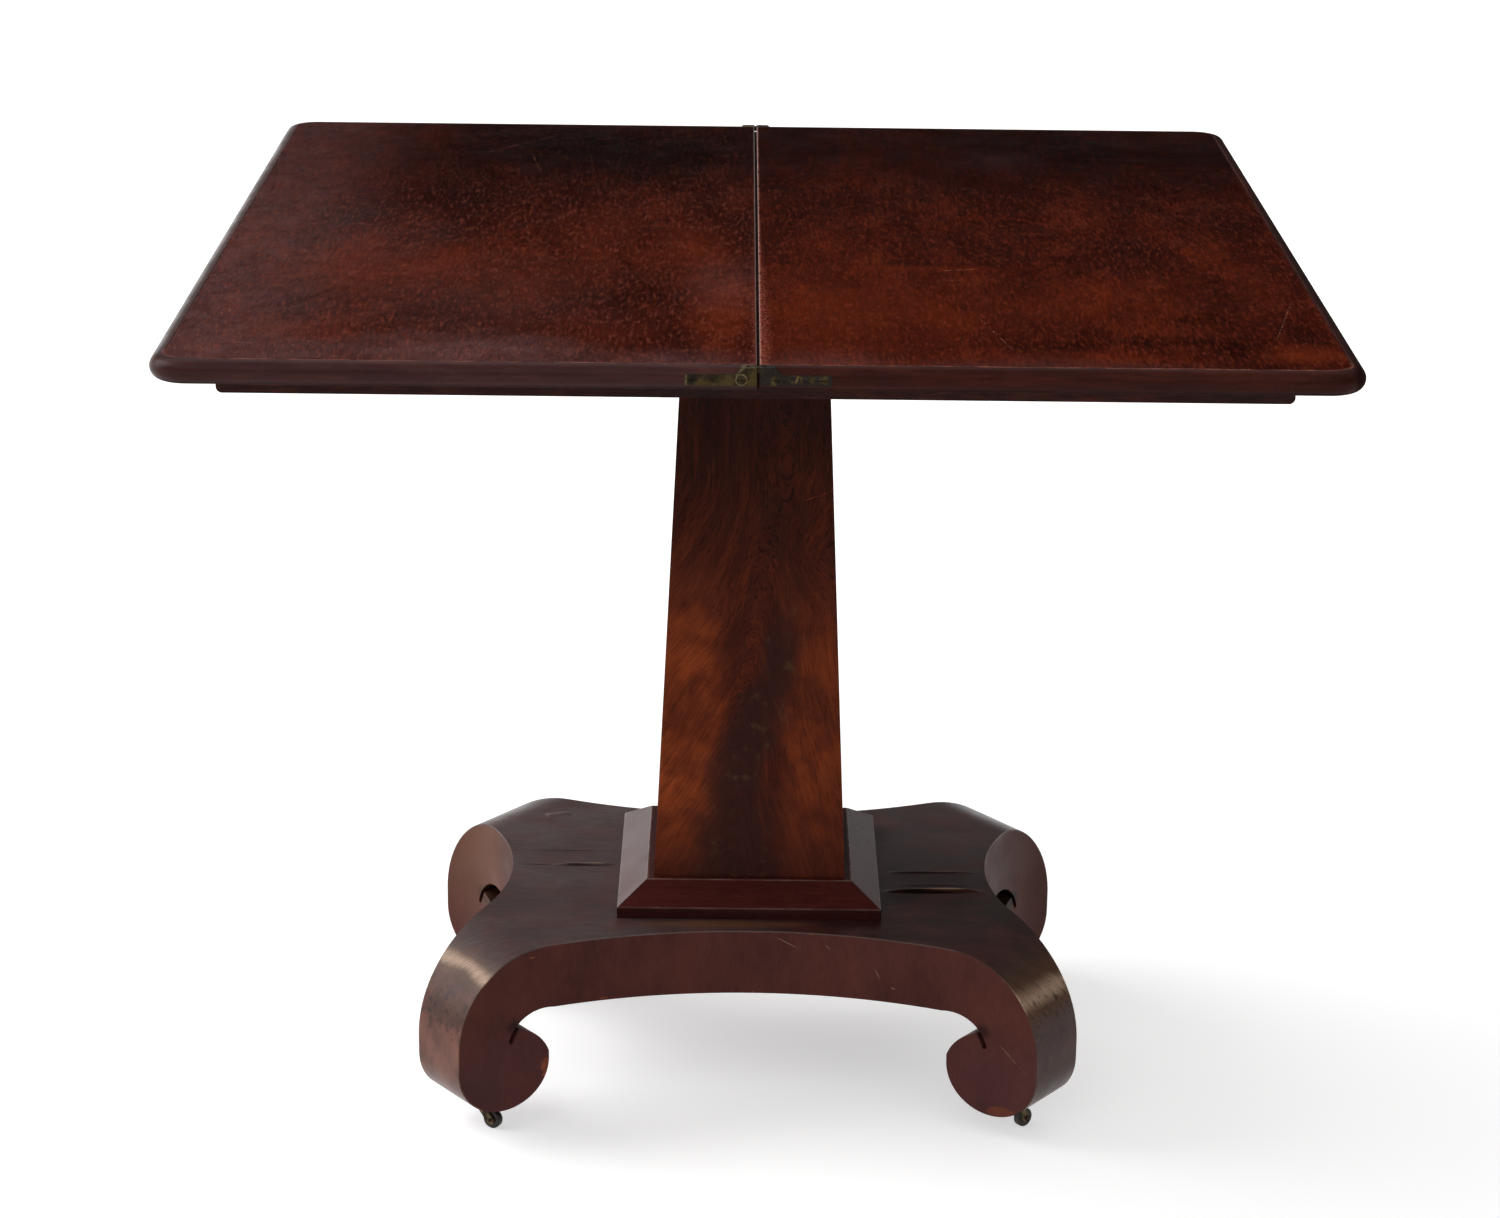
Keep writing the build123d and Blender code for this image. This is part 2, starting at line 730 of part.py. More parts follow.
def foot_veneer_outline():
    """The sheet glued down the foot's outer scroll, from the platform's veneer to under the lobe."""
    return [
        ThreePointArc((scroll_centre, base_height), scroll_point(45, 0), scroll_point(0, 0)),
        Line(scroll_point(0, 0), lobe_point(0, 0)),
        ThreePointArc(lobe_point(0, 0), lobe_point(veneer_end_angle / 2, 0), lobe_point(veneer_end_angle, 0)),
        Line(lobe_point(veneer_end_angle, 0), lobe_point(veneer_end_angle, veneer)),
        ThreePointArc(lobe_point(veneer_end_angle, veneer), lobe_point(veneer_end_angle / 2, veneer),
                      lobe_point(0, veneer)),
        Line(lobe_point(0, veneer), scroll_point(0, veneer)),
        ThreePointArc(scroll_point(0, veneer), scroll_point(45, veneer), (scroll_centre, core_top)),
        Line((scroll_centre, core_top), (scroll_centre, base_height)),
    ]


def caster_spot():
    """The middle of the back right caster's stem."""
    return (lobe_centre * diagonal_x - caster_side * diagonal_y,
            lobe_centre * diagonal_y + caster_side * diagonal_x)


def scroll_foot():
    x, y = caster_spot()
    flange = disc(x, y, -overrun, caster_flange_top, caster_flange_radius)
    sleeve = disc(x, y, 0, caster_flange_top + caster_sleeve_length, caster_sleeve_radius)
    return across_foot(foot_outline()) - flange - sleeve


def platform_sheet(front):
    """One half of the veneer on the platform, joined to the other along the table's length."""
    sheet = upright(base_plan(), core_top, base_height) & within_reach(scroll_centre)
    far = foot_tip_reach
    half = block(-far, far, veneer_joint / 2, far, 0, base_height + overrun)
    if front:
        half = front_to_back(half)
    return sheet & half


def make_base(parts):
    core = upright(base_plan(), platform_bottom, core_top) & within_reach(foot_joint_reach)
    parts["platform_core"] = cut_all(core, base_screws())
    front = cut_all(platform_sheet(True), base_screws())
    back = cut_all(platform_sheet(False), base_screws())
    parts["platform_veneer"] = group([front, back])
    foot = scroll_foot()
    sheet = across_foot(foot_veneer_outline())
    for corner in corners:
        parts["scroll_foot_" + corner] = to_corner(foot, corner)
    parts["foot_veneers"] = group([to_corner(sheet, corner) for corner in corners])


# The casters, drawn at the origin and then set under each foot

def caster_socket():
    """A flanged socket let into the foot."""
    top = caster_flange_top + caster_sleeve_length
    flange = disc(0, 0, caster_flange_bottom, caster_flange_top, caster_flange_radius)
    sleeve = disc(0, 0, caster_flange_top, top, caster_sleeve_radius)
    bore_top = caster_flange_top + caster_stem_length + caster_stem_end_gap
    bore = disc(0, 0, 0, bore_top, caster_stem_radius + running_fit)
    return flange + sleeve - bore


def caster_axle(clearance):
    """The axle through both cheeks; with a clearance it is the hole for it."""
    half = caster_wheel_width / 2 + fork_gap + caster_cheek + caster_axle_end
    return rod_y(caster_trail, caster_wheel_radius, -half, half, caster_axle_radius + clearance)


def caster_fork():
    """A round head on a stem, with two cheeks that hold the axle behind the stem."""
    head_low = caster_flange_bottom - caster_fork_thickness
    stem = disc(0, 0, head_low, caster_flange_top + caster_stem_length, caster_stem_radius)
    fork = disc(0, 0, head_low, caster_flange_bottom, caster_fork_radius) + stem
    inner = caster_wheel_width / 2 + fork_gap
    outer = inner + caster_cheek
    half_top = caster_cheek_top / 2
    slant = caster_cheek_radius * math.sqrt(0.5)
    cheek_outline = [(-half_top, head_low), (half_top, head_low),
                     (caster_trail + slant, caster_wheel_radius + slant),
                     (caster_trail - slant, caster_wheel_radius - slant)]
    for y0, y1 in ((-outer, -inner), (inner, outer)):
        fork = fork + prism_y(cheek_outline, y0, y1)
        fork = fork + rod_y(caster_trail, caster_wheel_radius, y0, y1, caster_cheek_radius)
    return fork - caster_axle(0)


def caster_wheel():
    half = caster_wheel_width / 2
    wheel = rod_y(caster_trail, caster_wheel_radius, -half, half, caster_wheel_radius)
    wheel = fillet(wheel.edges().filter_by(GeomType.CIRCLE), caster_wheel_round)
    return wheel - caster_axle(running_fit)


def make_casters(parts):
    back_x, back_y = caster_spot()
    sockets = []
    for corner, (side, end) in corners.items():
        spot = Pos(side * back_x, end * back_y, 0)
        heading = spot * Rot(0, 0, caster_headings[corner])
        sockets.append(spot * caster_socket())
        parts["caster_fork_" + corner] = heading * caster_fork()
        parts["caster_axle_" + corner] = heading * caster_axle(0)
        parts["caster_wheel_" + corner] = heading * caster_wheel()
    parts["caster_sockets"] = group(sockets)


def main():
    os.makedirs("parts", exist_ok=True)
    parts = {}
    make_top(parts)
    make_frame(parts)
    make_column(parts)
    make_base(parts)
    make_casters(parts)
    for name, shape in parts.items():
        export_step(shape, "parts/" + name + ".step")
    print(len(parts), "pieces written")


main()
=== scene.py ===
"""Finishes a mahogany games table piece by piece and sets it on a pale studio floor."""

import math

import bmesh
import bpy
from bpy.props import FloatProperty, FloatVectorProperty, PointerProperty
from mathutils import Matrix, Vector


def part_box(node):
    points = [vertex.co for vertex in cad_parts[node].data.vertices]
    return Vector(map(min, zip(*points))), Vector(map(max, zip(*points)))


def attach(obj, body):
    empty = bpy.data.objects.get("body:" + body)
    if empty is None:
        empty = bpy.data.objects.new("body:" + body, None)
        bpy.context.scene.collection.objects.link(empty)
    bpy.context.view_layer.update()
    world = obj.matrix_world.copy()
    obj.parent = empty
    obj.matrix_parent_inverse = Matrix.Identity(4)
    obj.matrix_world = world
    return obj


bl_info = {
    "name": "Games Table",
    "version": (1, 0, 0),
    "blender": (4, 5, 0),
    "location": "3D View > Sidebar > Games Table",
    "description": "Polishes, wears and lights a mahogany games table",
    "category": "Object",
}

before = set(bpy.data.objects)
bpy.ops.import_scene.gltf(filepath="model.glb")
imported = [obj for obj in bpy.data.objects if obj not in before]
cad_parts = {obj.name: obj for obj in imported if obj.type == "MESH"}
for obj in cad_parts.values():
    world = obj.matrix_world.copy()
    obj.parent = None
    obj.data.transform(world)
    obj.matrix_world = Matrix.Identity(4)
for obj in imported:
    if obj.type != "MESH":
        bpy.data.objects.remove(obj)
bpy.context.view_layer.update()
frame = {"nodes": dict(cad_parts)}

MM = 0.001
# Reach of a mark along the direction in which its place doesn't matter
ANY_DEPTH = 10.0
CORNERS = ("front_left", "front_right", "back_left", "back_right")
SIDES = ("front", "right", "back", "left")


def mm(*sizes):
    """Sizes in millimetres, as metres."""
    return tuple(size * MM for size in sizes)


def stain(red, green, blue):
    """The linear colour of one given in steps of 255, as a swatch is read."""
    def linear(step):
        value = step / 255
        return value / 12.92 if value <= 0.04045 else ((value + 0.055) / 1.055) ** 2.4
    return (linear(red), linear(green), linear(blue))


def swatch(name, red, green, blue, description):
    """A colour that the user can change, as a property."""
    return FloatVectorProperty(name=name, description=description, subtype="COLOR", size=3, min=0.0, max=1.0,
                               default=stain(red, green, blue))


class TopColours(bpy.types.PropertyGroup):
    """Colours of the two leaves."""

    deep: swatch("Deep", 25, 8, 7, "Darkest part of the playing surface")
    red: swatch("Red", 60, 18, 10, "Body colour of the playing surface")
    warm: swatch("Warm", 116, 44, 20, "Faded orange patches")
    # Haze is painted reflection, laid on the leaves as colour
    painted_haze: swatch("Haze", 126, 94, 94, "Bloom on the polish near the edges")
    # Worn colours real wear, and also pale lines of painted highlight on the arrises
    wear_and_highlight: swatch("Worn", 172, 108, 92, "Bare arris beside the seam")
    under: swatch("Underside", 58, 34, 24, "Unpolished underside")


class PedestalColours(bpy.types.PropertyGroup):
    """Colours of the frame, column and base."""

    frame: swatch("Frame", 46, 20, 16, "Rails under the top")
    column_deep: swatch("Column deep", 36, 15, 11, "Dark streaks of the crotch figure")
    column_red: swatch("Column red", 76, 30, 18, "Body colour of the column")
    column_warm: swatch("Column warm", 136, 60, 26, "Orange flame beside the heart")
    plinth: swatch("Plinth", 72, 31, 28, "Moulding round the column's foot")
    base: swatch("Base", 76, 39, 34, "Upright faces of the base")
    base_top: swatch("Base top", 48, 24, 20, "Satin upper side of the base")
    # Painted sheen: grey reflection laid on the upper side of the base as colour
    painted_sheen: swatch("Bloom", 104, 92, 92, "Grey bloom on the upper side of the base")
    scroll: swatch("Scroll", 116, 72, 58, "Veneer bent over the scrolls")
    # Shoulder is painted sheen on the scrolls' shoulders and painted highlight on the swellings' crests, and
    # also colours pale scratches
    shoulder: swatch("Shoulder", 184, 156, 132, "Veneer rubbed pale on the scrolls' shoulders")
    raw: swatch("Raw wood", 158, 84, 44, "Bare wood in the chips")
    inside: swatch("Inside", 118, 84, 56, "Secondary wood that is never polished")


class MetalColours(bpy.types.PropertyGroup):
    """Colours of the brass and iron."""

    brass: swatch("Brass", 64, 52, 27, "Tarnished hinge brass")
    caster: swatch("Caster brass", 96, 82, 58, "Brass of the caster forks")
    iron: swatch("Iron", 40, 34, 31, "Iron of the pivot, screws and axles")
    wheel: swatch("Wheel", 22, 20, 19, "Dark wheels of the casters")


class StageSettings(bpy.types.PropertyGroup):
    """Floor, sky and lamps."""

    reach: FloatProperty(name="Floor reach", description="Half the side of the floor", default=36.0,
                         unit="LENGTH")
    floor: swatch("Floor", 232, 232, 232, "Colour of the floor")
    glow: FloatProperty(name="Floor glow", description="The part of the floor's white that no shadow reaches",
                        default=0.5, subtype="FACTOR", min=0.0, max=1.0)
    sky: FloatProperty(name="Sky", description="Strength of the light from all round", default=1.1)
    key: FloatProperty(name="Key", description="Strength of the light from the left", default=2.0)
    fill: FloatProperty(name="Fill", description="Strength of the light from the front", default=0.4)


class TableSettings(bpy.types.PropertyGroup):
    """Everything that the user can change."""

    top: PointerProperty(type=TopColours)
    pedestal: PointerProperty(type=PedestalColours)
    metal: PointerProperty(type=MetalColours)
    stage: PointerProperty(type=StageSettings)


def settings():
    """The user's colours and lights for this scene."""
    return bpy.context.scene.games_table


class Nodes:
    """The nodes of a material or a world, with the arithmetic that joins them."""

    def __init__(self, tree):
        self.tree = tree
        tree.nodes.clear()

    def node(self, kind, values=None, **choices):
        """A new node. Each value is a socket to link or a number to set, under its input's name or place."""
        made = self.tree.nodes.new("ShaderNode" + kind)
        for name, choice in choices.items():
            setattr(made, name, choice)
        for key, value in (values or {}).items():
            if isinstance(value, bpy.types.NodeSocket):
                self.tree.links.new(value, made.inputs[key])
            else:
                made.inputs[key].default_value = value
        return made

    def step(self, kind, *values):
        """One step of arithmetic."""
        return self.node("Math", dict(enumerate(values)), operation=kind).outputs[0]

    def chain(self, kind, *values):
        """The same arithmetic on a row of values, from the first to the last."""
        total = values[0]
        for value in values[1:]:
            total = self.step(kind, total, value)
        return total

    def times(self, *values):
        return self.chain("MULTIPLY", *values)

    def plus(self, *values):
        return self.chain("ADD", *values)

    def minus(self, *values):
        return self.chain("SUBTRACT", *values)

    def larger(self, *values):
        return self.chain("MAXIMUM", *values)

    def smaller(self, *values):
        return self.chain("MINIMUM", *values)

    def size(self, value):
        """A value without its sign."""
        return self.node("Math", {0: value}, operation="ABSOLUTE").outputs[0]

    def split(self, place):
        parts = self.node("SeparateXYZ", {0: place}).outputs
        return parts[0], parts[1], parts[2]

    def combine(self, x, y, z):
        return self.node("CombineXYZ", {0: x, 1: y, 2: z}).outputs[0]

    def length(self, place):
        return self.node("VectorMath", {0: place}, operation="LENGTH").outputs[1]

    def scale(self, place, factors, shift):
        """A place stretched along each axis, then moved."""
        moved = {0: place, 1: factors, 2: (shift,) * 3}
        return self.node("VectorMath", moved, operation="MULTIPLY_ADD").outputs[0]

    def slope(self, value, low, high, bottom=0.0, top=1.0, form="LINEAR"):
        """Goes from bottom to top as value goes from low to high, and is level outside."""
        reach = {0: value, 1: low, 2: high, 3: bottom, 4: top}
        return self.node("MapRange", reach, interpolation_type=form).outputs[0]

    def ramp(self, value, *stops):
        """Colours between stops, each a position and its colour."""
        made = self.node("ValToRGB", {0: value})
        band = made.color_ramp
        while len(band.elements) < len(stops):
            band.elements.new(1.0)
        for element, (position, colour) in zip(band.elements, stops):
            element.position = position
            element.color = (*colour, 1)
        return made.outputs[0]


class Recipe(Nodes):
    """The nodes of one finish, laid on in order."""

    def __init__(self, name):
        self.material = bpy.data.materials.new(name)
        self.material.use_nodes = True
        super().__init__(self.material.node_tree)
        self.place = self.node("TexCoord").outputs["Object"]
        self.x, self.y, self.z = self.split(self.place)

    def rise(self, value, low, high, bottom=0.0, top=1.0):
        """Goes smoothly from bottom to top as value goes from low to high."""
        return self.slope(value, low, high, bottom, top, "SMOOTHSTEP")

    def near(self, value, level, width):
        """1 where value is at level, falling to 0 at width from it."""
        return self.rise(self.size(self.minus(value, level)), 0.3 * width, width, 1.0, 0.0)

    def noise(self, place, detail, roughness):
        values = {"Vector": place, "Scale": 1.0, "Detail": detail, "Roughness": roughness, "Distortion": 0.0}
        return self.node("TexNoise", values).outputs[0]

    def cloud(self, size, detail=2.0, shift=0.0):
        """Soft noise whose features are about size metres across."""
        return self.noise(self.scale(self.place, (1 / size,) * 3, shift), detail, 0.5)

    def stray(self, value, noise, amount):
        """Moves a value to and fro with a noise, over the amount in all."""
        return self.step("MULTIPLY_ADD", self.minus(noise, 0.5), amount, value)

    def away(self, centre, reach, turn):
        """Distance from a centre, in which the reach counts as 1."""
        values = {0: self.place, 1: centre, 2: turn, 3: reach}
        return self.length(self.node("Mapping", values, vector_type="TEXTURE").outputs[0])

    def oval(self, centre, reach, turn=0.0, ragged=0.0, core=0.3, grit=20 * MM):
        """A soft spot: 1 in its core, 0 outside its reach, turned about Z."""
        away = self.away(centre, reach, (0, 0, turn))
        if ragged:
            away = self.stray(away, self.cloud(grit, 3.0), 2 * ragged)
        return self.rise(away, core, 1.0, 1.0, 0.0)

    def scratch(self, start, end, width):
        """A fine straight line in plan, from start to end."""
        run = Vector(end) - Vector(start)
        middle = (Vector(start) + Vector(end)) / 2
        reach = (run.length / 2, width / 2, ANY_DEPTH)
        line = self.oval((*middle, 0), reach, math.atan2(run.y, run.x), core=0.5)
        broken = self.rise(self.cloud(6 * MM, 3.0), 0.4, 0.6)
        return self.times(line, broken)

    def upright_scratch(self, start, end, width):
        """A fine straight line on an upright face that looks forward; places are x and z in millimetres."""
        run_x, run_z = end[0] - start[0], end[1] - start[1]
        middle = mm((start[0] + end[0]) / 2, 0, (start[1] + end[1]) / 2)
        reach = (math.hypot(run_x, run_z) / 2 * MM, ANY_DEPTH, width / 2 * MM)
        line = self.rise(self.away(middle, reach, (0, -math.atan2(run_z, run_x), 0)), 0.5, 1.0, 1.0, 0.0)
        in_front = self.rise(self.y, -30 * MM, -50 * MM)
        broken = self.rise(self.cloud(5 * MM, 3.0), 0.35, 0.55)
        return self.times(line, in_front, broken)

    @staticmethod
    def paint(colour):
        """A colour as a socket takes it, or the socket that it comes from."""
        return colour if isinstance(colour, bpy.types.NodeSocket) else (*colour, 1)

    def mix(self, factor, under, over):
        values = {0: factor, 6: self.paint(under), 7: self.paint(over)}
        return self.node("Mix", values, data_type="RGBA").outputs[2]

    def lay(self, mask, colour, amount=1.0):
        """Lays a colour over the finish where the mask is."""
        self.colour = self.mix(self.times(mask, amount), self.colour, colour)

    def shade(self, mask, amount):
        """Darkens the finish by a share where the mask is."""
        self.lay(mask, (0.0, 0.0, 0.0), amount)

    def dull(self, mask, amount):
        """Roughens the finish where the mask is."""
        self.roughness = self.step("MULTIPLY_ADD", mask, amount, self.roughness)

    def close(self, gloss, depth=0.05 * MM, metal=0.0):
        """Makes the shader: gloss is its specular level, depth the height of the relief."""
        bump = self.node("Bump", {"Strength": 1.0, "Distance": depth, "Height": self.height})
        shader = self.node("BsdfPrincipled", {"Base Color": self.colour, "Roughness": self.roughness,
                                              "Normal": bump.outputs[0]})
        shader.inputs["Specular IOR Level"].default_value = gloss
        shader.inputs["Metallic"].default_value = metal
        self.node("OutputMaterial", {0: shader.outputs[0]})
        return self.material


class Grained(Recipe):
    """A finish whose marks follow a grain: across and along it, and a little into the depth."""

    def __init__(self, name, shift):
        super().__init__(name)
        self.shift = shift

    def drawn(self, wide, long, detail=2.0):
        """Noise in streaks of these sizes, in millimetres."""
        factors = (1 / (wide * MM), 1 / (long * MM), 1 / (wide * MM))
        return self.noise(self.scale(self.grain, factors, self.shift), detail, 0.6)

    def polish(self, hair, pores, hair_shade, pore_shade, satin):
        """Shades the hair-fine grain and the pores, and gives the surface its sheen and relief."""
        self.shade(pores, pore_shade)
        self.shade(self.rise(hair, 0.5, 0.3), hair_shade)
        uneven = self.cloud(30 * MM, 3.0, self.shift + 5)
        self.roughness = self.rise(uneven, 0.2, 0.8, 0.8 * satin, 1.2 * satin)
        self.height = self.minus(hair, self.times(pores, 0.8))

    def specks(self, region, size, share, colour, amount):
        """Small pale marks scattered over a region."""
        cells = self.node("TexVoronoi", {"Vector": self.place, "Scale": 1 / size}).outputs
        small = self.rise(cells[0], 0.12, 0.3, 1.0, 0.0)
        few = self.rise(self.split(cells[1])[0], 1 - share, 1 - 0.9 * share)
        self.lay(self.times(small, few, region), colour, amount)


class Wood(Grained):
    """Mahogany with its blotches, streaks and pores drawn out along one direction.

    across and along are axes, or functions that give the distance across or along a bent or moulded piece.
    Sizes are in millimetres. figure is the share of the streaks against the blotches, spread how far the
    noise has to go to reach the deep or the warm colour.
    """

    def __init__(self, name, deep, red, warm, across, along, blotch=(50, 180), streak=(2.2, 70), satin=0.35,
                 shift=0.0, figure=0.5, spread=0.18, wander=12, pore=0.3):
        super().__init__(name, shift)
        axes = {"x": self.x, "y": self.y, "z": self.z}
        across = across(self) if callable(across) else axes[across]
        along = along(self) if callable(along) else axes[along]
        across = self.stray(across, self.cloud(110 * MM, 1.0, shift), wander * MM)
        depth = self.times(self.plus(self.x, self.y, self.z), 0.1)
        self.grain = self.combine(across, along, depth)
        broad = self.drawn(*blotch, detail=3.0)
        fine = self.drawn(*streak, detail=4.0)
        both = self.step("MULTIPLY_ADD", fine, figure, self.times(broad, 1 - figure))
        self.colour = self.ramp(both, (0.5 - spread, deep), (0.5, red), (0.5 + spread, warm))
        pores = self.rise(self.drawn(0.8, 16, detail=1.0), 0.58, 0.7)
        self.polish(self.drawn(1.1, 36, detail=3.0), pores, pore, pore, satin)


def finish_nodes(material, *names):
    """Gives the named CAD pieces a material, in their own material slots."""
    for name in names:
        piece = frame["nodes"][name]
        if not piece.material_slots:
            piece.data.materials.append(material)
        for slot in piece.material_slots:
            slot.material = material


def round_edges(width, *names):
    """Rounds the sharp edges of the named CAD pieces a little, as handling does."""
    for name in names:
        piece = frame["nodes"][name]
        weld = piece.modifiers.new("joined", "WELD")
        weld.merge_threshold = 0.01 * MM
        bevel = piece.modifiers.new("worn_edges", "BEVEL")
        bevel.width = width
        bevel.segments = 2
        bevel.limit_method = "ANGLE"
        bevel.angle_limit = math.radians(40)
        bevel.harden_normals = True


def leaf_inset(recipe):
    """Distance in from the outline of the open top, with its rounded corners."""
    low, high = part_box("upper_leaf_edge")
    half_x, half_y, corner_radius = -low.x, high.y, 28 * MM
    over_x = recipe.minus(recipe.size(recipe.x), half_x - corner_radius)
    over_y = recipe.minus(recipe.size(recipe.y), half_y - corner_radius)
    corner = recipe.combine(recipe.larger(over_x, 0.0), recipe.larger(over_y, 0.0), 0.0)
    out = recipe.length(corner)
    flat = recipe.smaller(recipe.larger(over_x, over_y), 0.0)
    return recipe.minus(corner_radius, recipe.plus(out, flat))


# The figure of the veneer on both leaves, on either face
LEAF_FIGURE = {"blotch": (45, 150), "streak": (2.0, 280), "figure": 0.4, "spread": 0.32, "wander": 5,
               "pore": 0.22}
# Patches on the two leaves: place outward from the seam and backward, reach outward and backward, strength.
# Places and reaches are shares of the leaf's width and length.
WARM_PATCHES = {
    "left": ((0.74, 0.30, 0.22, 0.13, 0.55), (0.80, 0.10, 0.16, 0.07, 0.6), (0.62, 0.36, 0.26, 0.12, 0.4),
             (0.06, 0.17, 0.09, 0.20, 0.9), (0.12, 0.40, 0.14, 0.18, 0.6), (0.42, 0.30, 0.26, 0.16, 0.35),
             (0.04, 0.64, 0.07, 0.12, 0.3), (0.30, 0.52, 0.16, 0.12, 0.25), (0.30, 0.10, 0.20, 0.10, 0.3)),
    "right": ((0.13, 0.14, 0.14, 0.20, 0.4), (0.93, 0.05, 0.12, 0.05, 0.9), (0.32, 0.18, 0.26, 0.14, 0.3),
              (0.66, 0.22, 0.30, 0.16, 0.25), (0.16, 0.44, 0.20, 0.14, 0.15), (0.56, 0.03, 0.34, 0.035, 0.4),
              (0.34, 0.35, 0.18, 0.02, 0.3), (0.92, 0.30, 0.07, 0.16, 0.3)),
}
DARK_PATCHES = {
    "left": ((0.30, 0.86, 0.50, 0.22, 0.7), (0.58, 0.14, 0.12, 0.06, 0.3), (0.82, 0.22, 0.05, 0.20, 0.35),
             (0.64, 0.62, 0.20, 0.12, 0.35), (0.25, 0.24, 0.12, 0.10, 0.3), (0.80, 0.54, 0.12, 0.06, 0.35),
             (0.51, 0.03, 0.02, 0.02, 0.5), (0.20, 0.70, 0.26, 0.07, 0.3), (0.86, 0.42, 0.05, 0.14, 0.3)),
    "right": ((0.72, 0.88, 0.50, 0.20, 0.55), (0.42, 0.10, 0.04, 0.05, 0.35), (0.70, 0.09, 0.18, 0.03, 0.5),
              (0.84, 0.07, 0.08, 0.04, 0.5), (0.22, 0.03, 0.06, 0.03, 0.3), (0.36, 0.20, 0.02, 0.02, 0.5),
              (0.52, 0.07, 0.12, 0.02, 0.4), (0.78, 0.16, 0.10, 0.05, 0.35)),
}
# Patches of painted haze: reflection laid on as colour
PAINTED_HAZE_PATCHES = {
    "left": ((0.50, 0.03, 0.36, 0.09, 0.9), (0.80, 0.03, 0.24, 0.08, 0.35), (0.74, 0.46, 0.26, 0.20, 0.22),
             (0.06, 0.28, 0.12, 0.16, 0.3), (0.14, 0.0, 0.24, 0.07, 0.6), (0.60, 0.20, 0.50, 0.30, 0.25)),
    "right": ((0.10, 0.0, 0.20, 0.07, 0.4), (0.52, 0.84, 0.14, 0.08, 0.12), (0.45, 0.0, 0.45, 0.04, 0.3)),
}
# Scratches on the two leaves: start and end as such shares, and width in millimetres.
LEAF_SCRATCHES = {
    "left": (((0.86, 0.65), (0.80, 0.645), 1.6), ((0.80, 0.51), (0.72, 0.50), 1.2),
             ((0.42, 0.95), (0.60, 0.83), 1.4), ((0.48, 0.86), (0.44, 0.74), 1.2),
             ((0.26, 0.25), (0.20, 0.30), 1.0), ((0.92, 0.055), (0.84, 0.05), 1.4)),
    "right": (((0.376, 0.20), (0.45, 0.02), 1.0), ((0.97, 0.25), (0.89, 0.08), 2.0),
              ((0.30, 0.335), (0.44, 0.35), 1.6), ((0.32, 0.30), (0.40, 0.305), 1.2)),
}
# How far the wear at the seam reaches at the front, and how strong its parts are; the arris part is a pale
# line of painted highlight and wear.
SEAM_WEAR = {"left": {"reach": 10 * MM, "grit": 0.1, "ruddy": 0.3, "arris": 0.1},
             "right": {"reach": 14 * MM, "grit": 0.2, "ruddy": 0.6, "arris": 0.5}}
DASHES = {"left": stain(134, 70, 54), "right": stain(126, 54, 34)}
# Deep, body and warm colour of the two edge mouldings, and their gloss.
# The left moulding's colours are painted lighter and greyer than the right's, as painted sheen from the light
# at the left
NOSE_FINISH = {"left": (stain(32, 17, 17), stain(58, 30, 28), stain(84, 46, 40), 0.1),
               "right": (stain(30, 12, 11), stain(52, 22, 17), stain(78, 34, 24), 0.05)}


